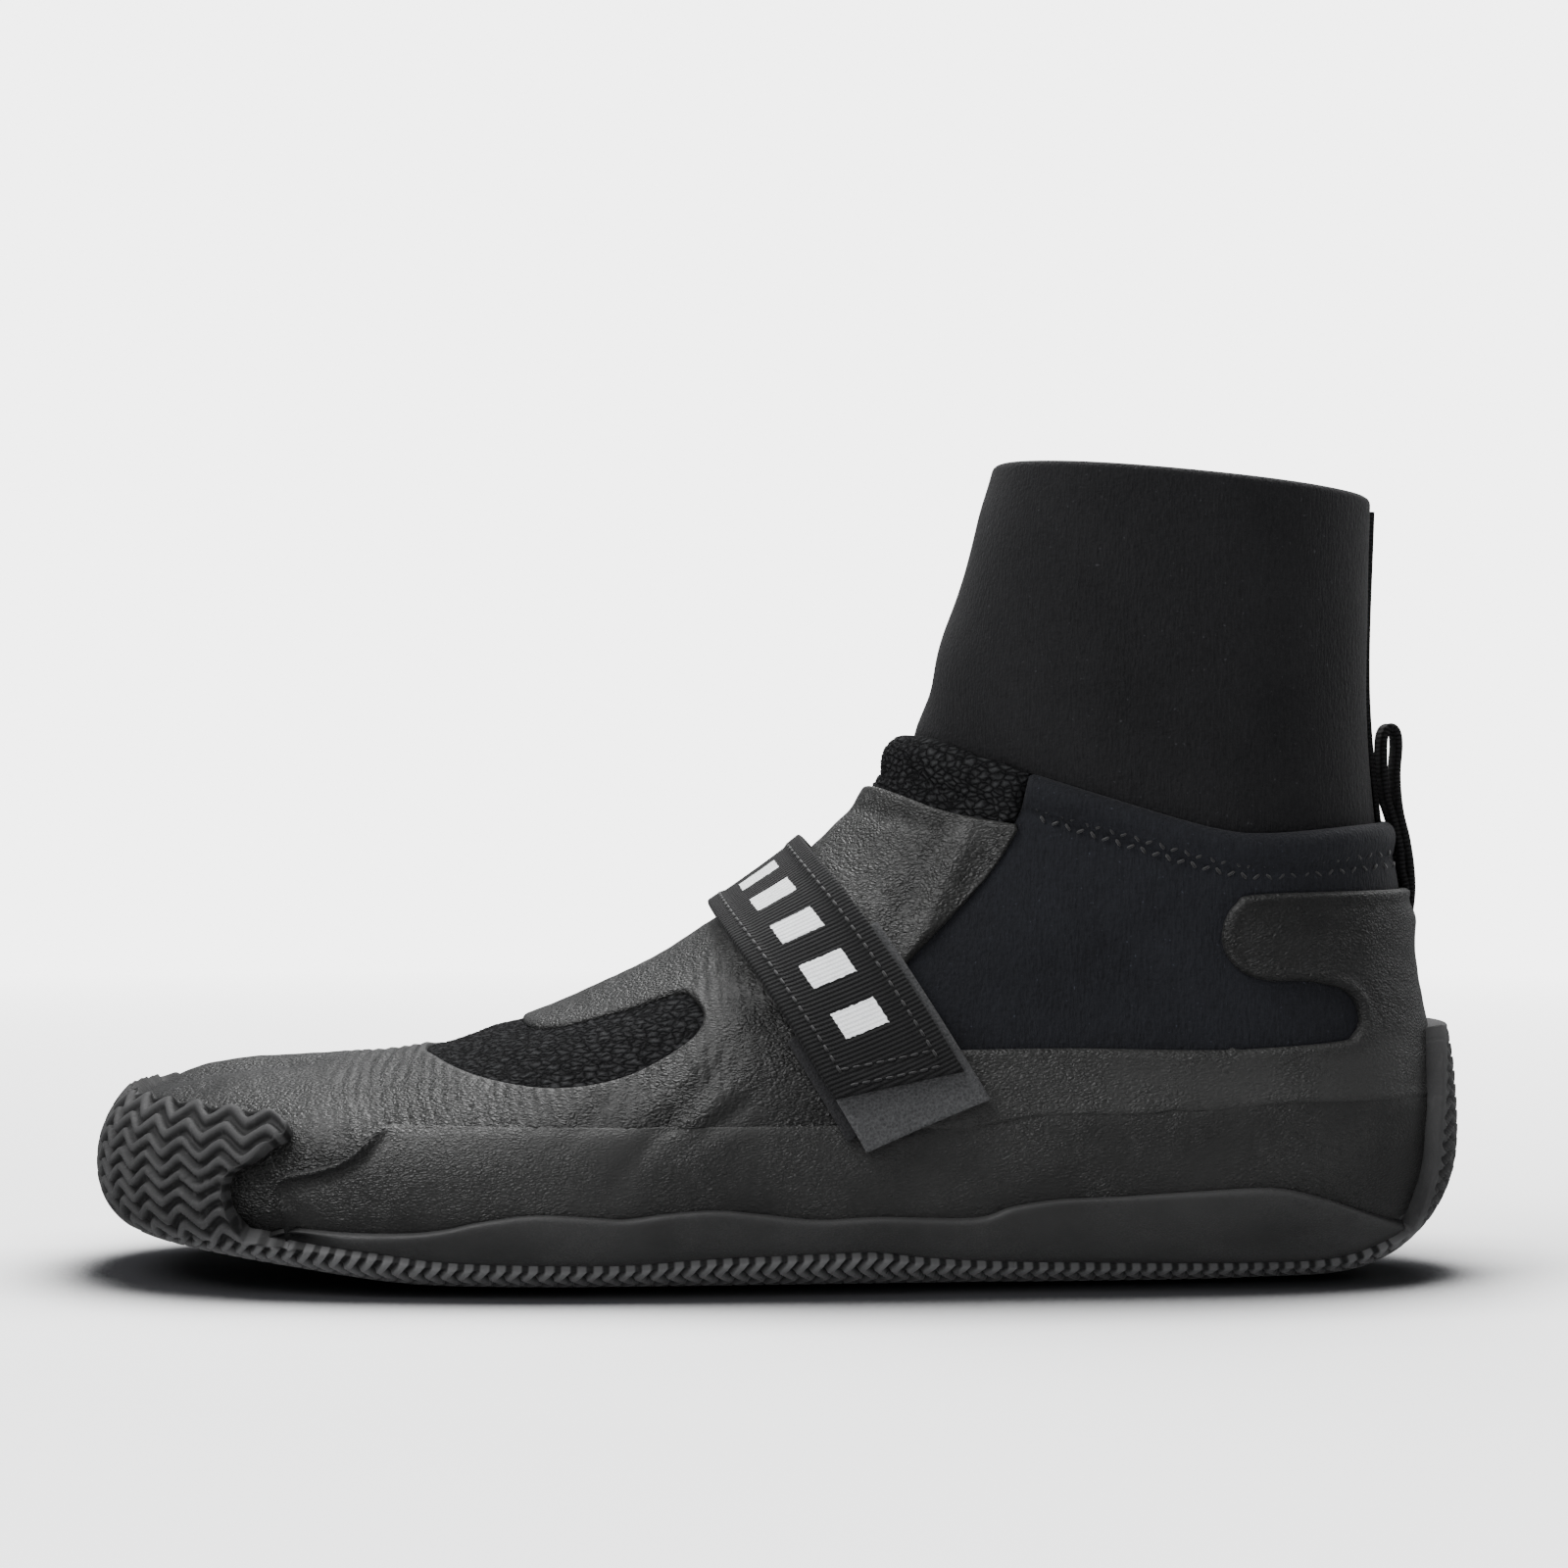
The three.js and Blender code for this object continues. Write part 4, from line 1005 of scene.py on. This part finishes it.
# ------------------------------------------------------------------ footbed
def footbed():
    """A foam sheet that ends where it meets the sock's wall."""
    uu, tt = np.meshgrid(np.linspace(0, 14.5, 400), np.linspace(-2, 2, 401), indexing="ij")
    wall = sock_at(uu, tt, -SOCK - 0.3)
    middle = wall[:, 200]
    wall = wall.reshape(-1, 3)
    middle = middle[(middle[:, 0] > -125) & (middle[:, 0] < 108)]
    side = np.linspace(-1, 1, 41)

    def row(x, low, height, rise):
        near = wall[(np.abs(wall[:, 0] - x) < 0.9) & (np.abs(wall[:, 2] - low - height - 0.6 * rise) < 0.9)]
        y0, y1 = near[:, 1].min() + 0.5, near[:, 1].max() - 0.5
        y = (y0 + y1) / 2 + side * max(y1 - y0, 0.2) / 2
        return np.stack([np.full(41, x), y, low + height + rise * np.abs(side) ** 4], 1)

    level = wall[np.abs(wall[:, 2] - middle[:, 2].min() - 3) < 1.5]
    x0, x1 = level[:, 0].min() + 4.0, level[:, 0].max() - 2.5
    stations = (x0 + x1) / 2 - (x1 - x0) / 2 * np.cos(np.linspace(0, np.pi, 100))
    lows = np.interp(stations, middle[:, 0], middle[:, 2])
    grid = np.array([row(x, low, 4.2, 2.2) for x, low in zip(stations, lows)])
    below = np.array([row(x, low, 1.2, 1.0) for x, low in zip(stations, lows)])
    points = np.vstack([grid.reshape(-1, 3), below.reshape(-1, 3)])
    faces = grid_faces(*grid.shape[:2])
    faces = np.vstack([faces, faces[:, ::-1] + len(points) // 2])
    return mesh_object("footbed", points, faces, points)


bed = footbed()
dress(bed, "lining", "boot", "foam", "footbed")


# ------------------------------------------------------------------ instep strap
CREST_T = 330  # the column of strap_lines that lies on the crest


def along_side_view(p, way):
    """How far points lie from the strap's crest along a way of the side view."""
    return (p[..., 0] - STRAP_CREST[0]) * way[0] + (p[..., 2] - STRAP_CREST[1]) * way[1]


def strap_lines(across):
    """Lines round the boot along the strap, one for each distance across it, as u and t."""
    c = np.asarray(across, float)[:, None]
    t = np.broadcast_to(np.linspace(0.35, 3.65, 2 * CREST_T + 1), (len(c), 2 * CREST_T + 1))
    low, high = np.full(t.shape, 3.0), np.full(t.shape, 14.5)
    for _ in range(34):
        mid = (low + high) / 2
        over = along_side_view(sock(mid, t), STRAP_ACROSS) > c
        low, high = np.where(over, low, mid), np.where(over, mid, high)
    return (low + high) / 2, t


def strap_patch(name, width, start, end, inner, outer, folded=0.0, slant=0.0, lateral=True, shift=0.0):
    """Webbing or pad: a thick ribbon across the boot between two drops below the crest. flow is
    (along, across, from the edge) in millimetres, the last below 0 on the underside."""
    edge = 0.6
    half = width / 2
    offsets = np.concatenate([[-half, -half + 0.15, -half + 0.5], np.linspace(-half + 1.2, half - 1.2, 27),
                              [half - 0.5, half - 0.15, half]]) + shift
    u, t = strap_lines(offsets)
    drop = along_side_view(sock(u, t), STRAP_WAY)
    arc = lengths(sock_at(u, t, 6.0), 1)
    crest = arc[:, [CREST_T]]
    arc = (crest - arc) if lateral else (arc - crest)
    side = slice(CREST_T, None, -1) if lateral else slice(CREST_T, None)
    lines, count = [], None
    for k, c in enumerate(offsets):
        a, uu, tt = arc[k, side], u[k, side], t[k, side]
        d = np.maximum.accumulate(drop[k, side])
        a0 = 0.0 if start is None else np.interp(start, d, a)
        a1 = np.interp(end + slant * c, d, a)
        count = count or max(4, int((a1 - a0) / 0.5) + 1)
        s = np.linspace(a0, a1, count)
        lines.append([np.interp(s, a, uu), np.interp(s, a, tt), s, np.interp(s, a, d)])
    su, st, s, d = (np.array(v) for v in zip(*lines))
    p, n = sock(su, st), sock_normal(su, st)
    c = np.broadcast_to(offsets[:, None], s.shape)
    low, top = (level(d) if callable(level) else np.full(s.shape, float(level)) for level in (inner, outer))
    from_edge = half - np.abs(c - shift)
    if folded:
        # The webbing's edges, and its free end, are turned over and sewn.
        raised = 0.35 * (1 - smooth_step(folded - 0.5, folded + 0.5, from_edge))
        end_raised = 0.3 * (1 - smooth_step(folded - 0.5, folded + 0.5, s[:, -1:] - s))
        top = top + np.maximum(raised, end_raised if lateral else 0)
    rounding = edge * (1 - np.sqrt(np.clip(1 - (1 - np.clip(from_edge / edge, 0, 1)) ** 2, 0, 1)))
    top = top - np.minimum(rounding, (top - low) * 0.5)
    low = low + np.minimum(rounding, (top - low) * 0.45)
    r, k = s.shape
    quads = grid_faces(r, k)[:, [0, 3, 2, 1]]
    index = np.arange(r * k).reshape(r, k)
    ring = np.concatenate([index[0, :], index[1:, -1], index[-1, -2::-1], index[-2:0:-1, 0]])
    nxt = np.roll(ring, -1)
    walls = np.stack([ring, nxt, nxt + r * k, ring + r * k], 1)
    if lateral:
        walls = walls[:, ::-1]
    else:
        quads = quads[:, ::-1]
    faces = np.vstack([quads, quads[:, ::-1] + r * k, walls])
    points = np.vstack([(p + n * level[..., None]).reshape(-1, 3) for level in (top, low)])
    flow = np.stack([s, c, from_edge], -1).reshape(-1, 3)
    obj = mesh_object(name, points, faces, np.vstack([flow, flow * [1, 1, -1]]))
    with_bmesh(obj.data, lambda bm: bmesh.ops.recalc_face_normals(bm, faces=bm.faces))
    return obj, (p + n * top[..., None], n, s, c)


def webbing_inner(drop):
    """The free end rises off the crest to lie over its pads."""
    return STRAP[0] + 1.8 * smooth_step(2, 20, drop)


def webbing_outer(drop):
    return webbing_inner(drop) + STRAP[1] - STRAP[0]


strap_end, end_grid = strap_patch("strap_end", STRAP_WIDTH, None, 51.0, webbing_inner, webbing_outer,
                                  FOLDED, slant=0.37)
dress(strap_end, "printed", None, "webbing", "strap_end")
strap_base, _ = strap_patch("strap_base", STRAP_WIDTH, None, STRAP_BASE_DROP, *STRAP, FOLDED, lateral=False)
dress(strap_base, "webbing", None, "webbing", "strap_base")
anchor, _ = strap_patch("strap_anchor", STRAP_WIDTH, STRAP_BASE_DROP, 60.4, LOOP_PAD[0], STRAP[1], FOLDED,
                        lateral=False)
dress(anchor, "webbing", "boot", "webbing", "strap_anchor")
hook_pad, _ = strap_patch("strap_hook_pad", PAD_WIDTH, 24, 59.8, *HOOK_PAD, slant=0.2, shift=1.2)
dress(hook_pad, "hook", "strap_end", "hook_and_loop", "strap_hook_pad")
loop_pad, _ = strap_patch("strap_loop_pad", PAD_WIDTH, 33, 54, *LOOP_PAD, shift=-0.8)
dress(loop_pad, "loop", "boot", "hook_and_loop", "strap_loop_pad")
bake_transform(strap_end)
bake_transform(strap_base)


# ------------------------------------------------------------------ stitching
def stitches(name, points, normals, ways, length, radius):
    """One capsule for each stitch, lying along its way on the surface."""
    ring = 6
    profile = [(-0.5, 0.0), (-0.42, 0.75), (-0.2, 1.0), (0.2, 1.0), (0.42, 0.75), (0.5, 0.0)]
    verts, faces = [], []
    for p, n, w in zip(points, normals, ways):
        n = n / np.linalg.norm(n)
        w = w - n * (w @ n)
        w /= np.linalg.norm(w)
        b = np.cross(n, w)
        faces.append(grid_faces(len(profile), ring, closed=True)[:, [0, 3, 2, 1]] + len(verts))
        for along, wide in profile:
            for a in 2 * math.pi / ring * np.arange(ring):
                verts.append(p + w * along * length + (b * math.cos(a) + n * math.sin(a) * 0.8) * wide * radius
                             + n * radius * 0.35)
    return mesh_object(name, np.array(verts), np.vstack(faces), np.array(verts))


def grid_path(grid, along, across, pitch):
    """Points, normals and directions along a line drawn on a strap's grid in (along, across)."""
    surface, n, s, c = grid
    total = lengths(np.stack([along, across], 1).astype(float))
    columns = np.arange(s.shape[1])

    def places(at):
        points, normals = [], []
        for a, q in zip(np.interp(at, total, along), np.interp(at, total, across)):
            line = np.interp(q, c[:, 0], np.arange(len(c)))
            i = min(int(line), len(c) - 2)
            sides = []
            for row in (i + 1, i):
                column = np.interp(a, s[row], columns)
                j = int(min(column, s.shape[1] - 2))
                sides.append(surface[row, j] * (1 - (column - j)) + surface[row, j + 1] * (column - j))
            points.append(sides[1] * (1 - (line - i)) + sides[0] * (line - i))
            normals.append(n[i, j])
        return np.array(points), np.array(normals)

    at = np.arange(pitch / 2, total[-1], pitch)
    return *places(at), places(at + 0.3)[0] - places(at - 0.3)[0]


def surface_path(line, lateral, offset, pitch):
    """Even points on the boot's side along a line of the side view, with their normals."""
    line = np.array(line, float)
    total = lengths(line)
    at = np.arange(pitch / 2, total[-1], pitch)
    x, z = np.interp(at, total, line[:, 0]), np.interp(at, total, line[:, 1]) + BASE
    u, t = np.full(len(x), 14.0), np.full(len(x), 1.2 if lateral else 2.8)
    low, high = (0.05, 1.95) if lateral else (2.05, 3.95)
    e = 1e-3
    for _ in range(40):
        p = sock_at(u, t, offset)
        pu = (sock_at(u + e, t, offset) - p) / e
        pt = (sock_at(u, t + e, offset) - p) / e
        det = pu[:, 0] * pt[:, 2] - pu[:, 2] * pt[:, 0]
        rx, rz = x - p[:, 0], z - p[:, 2]
        du = (rx * pt[:, 2] - rz * pt[:, 0]) / det
        dt = (pu[:, 0] * rz - pu[:, 2] * rx) / det
        u = np.clip(u + np.clip(du, -1, 1), 0.5, LAST - 0.1)
        t = np.clip(t + np.clip(dt, -0.3, 0.3), low, high)
    return sock_at(u, t, offset), sock_normal(u, t)


# Two rows of stitches that lean to and fro run under the collar.
for half, lateral in (("lateral", True), ("medial", False)):
    rows = []
    for level, shift in ((-6.4, 0.0), (-8.8, 1.3)):
        path = [(x + shift, z + level) for x, z in COLLAR if x < 126]
        p, n = surface_path(path, lateral, 2.8, 2.6)
        w = np.gradient(p, axis=0)
        rows.append((p, n, w + np.cross(n, w) * np.where(np.arange(len(p)) % 2, 0.8, -0.8)[:, None]))
    collar_stitch = stitches(f"collar_stitching_{half}", *map(np.vstack, zip(*rows)), 1.7, 0.3)
    dress(collar_stitch, "thread", "boot", "neoprene")

# The free end is sewn along both edges, and twice across its cut end.
end_s = end_grid[2]
seam = STRAP_WIDTH / 2 - 3.4
ends = np.interp((-seam, seam), end_grid[3][:, 0], end_s[:, -1])
paths = [((1.5, end_s[3, -1] - 4), (-seam, -seam)), ((1.5, end_s[-4, -1] - 3), (seam, seam))]
paths += [(ends - inset, (-seam, seam)) for inset in (2.0, 5.5)]
rows = [grid_path(end_grid, a, c, 2.3) for a, c in paths]
strap_stitch = stitches("strap_end_stitching", *map(np.vstack, zip(*rows)), 1.7, 0.26)
dress(strap_stitch, "thread", "strap_end", "webbing")


# ------------------------------------------------------------------ back seam tape
def seam_tape():
    c = np.array([-4, -3.85, -3.4, -2.4, -1.2, 0, 1.2, 2.4, 3.4, 3.85, 4.0])
    rise = np.where(np.abs(c) > 3.9, 0.0, np.where(np.abs(c) > 3.5, 0.7, 1.0))
    ridge = 0.22 * np.exp(-((c / 0.5) ** 2))
    t = np.linspace(-0.6, 0.6, 241)
    rows = []
    for u in even_sections(14.0, 18.97, 1.2):
        w = around_mm(np.full(len(t), u), t)
        rows.append(sock_at(u, np.interp(c, np.sort(w), t[np.argsort(w)]), (0.05 + rise + ridge)[:, None]))
    grid = np.array(rows)
    flow = [np.stack([np.full(len(c), a), c, 4 - np.abs(c)], 1) for a in lengths(grid[:, 5])]
    faces = grid_faces(*grid.shape[:2])[:, [0, 3, 2, 1]]
    return mesh_object("cuff_seam_tape", grid.reshape(-1, 3), faces, np.vstack(flow))


tape = seam_tape()
dress(tape, "webbing", None, "cuff_jersey", "cuff_seam_tape")
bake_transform(tape)


# ------------------------------------------------------------------ heel pull loop
def pull_loop():
    centre = np.array(curve([(130.8, 68), (130.2, 73), (129.4, 76.4), (129.0, 81), (127.8, 86.6),
                             (126.3, 91.5), (125.6, 97), (125.5, 102), (125.8, 104.8), (126.6, 106.2),
                             (127.7, 106.2), (128.5, 104.8), (128.7, 102), (128.3, 96), (128.9, 89),
                             (130.3, 83), (131.2, 77), (131.4, 72), (130.9, 67)], 8))
    way = np.gradient(centre, axis=0)
    way /= np.linalg.norm(way, axis=1, keepdims=True)
    out = np.stack([-way[:, 1], way[:, 0]], 1)
    profile = [(-5, 0.0), (-4.85, 0.5), (-4.4, 0.72), (-3.2, 0.8), (-2.6, 0.66), (0, 0.66), (2.6, 0.66),
               (3.2, 0.8), (4.4, 0.72), (4.85, 0.5), (5, 0.0), (4.85, -0.5), (4.4, -0.72), (0, -0.66),
               (-4.4, -0.72), (-4.85, -0.5)]
    points, flow = [], []
    for (x, z), (ox, oz), along in zip(centre, out, lengths(centre)):
        for y, h in profile:
            points.append((x + ox * h, y, z + oz * h + BASE))
            flow.append((along, y, 5 - abs(y)))
    n = len(profile)
    faces = grid_faces(len(centre), n, closed=True)[:, [0, 3, 2, 1]].tolist()
    faces += [list(range(n - 1, -1, -1)), list(range(len(points) - n, len(points)))]
    return mesh_object("heel_pull_loop", np.array(points), faces, np.array(flow))


loop = pull_loop()
dress(loop, "webbing", None, "webbing", "heel_pull_loop")
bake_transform(loop)
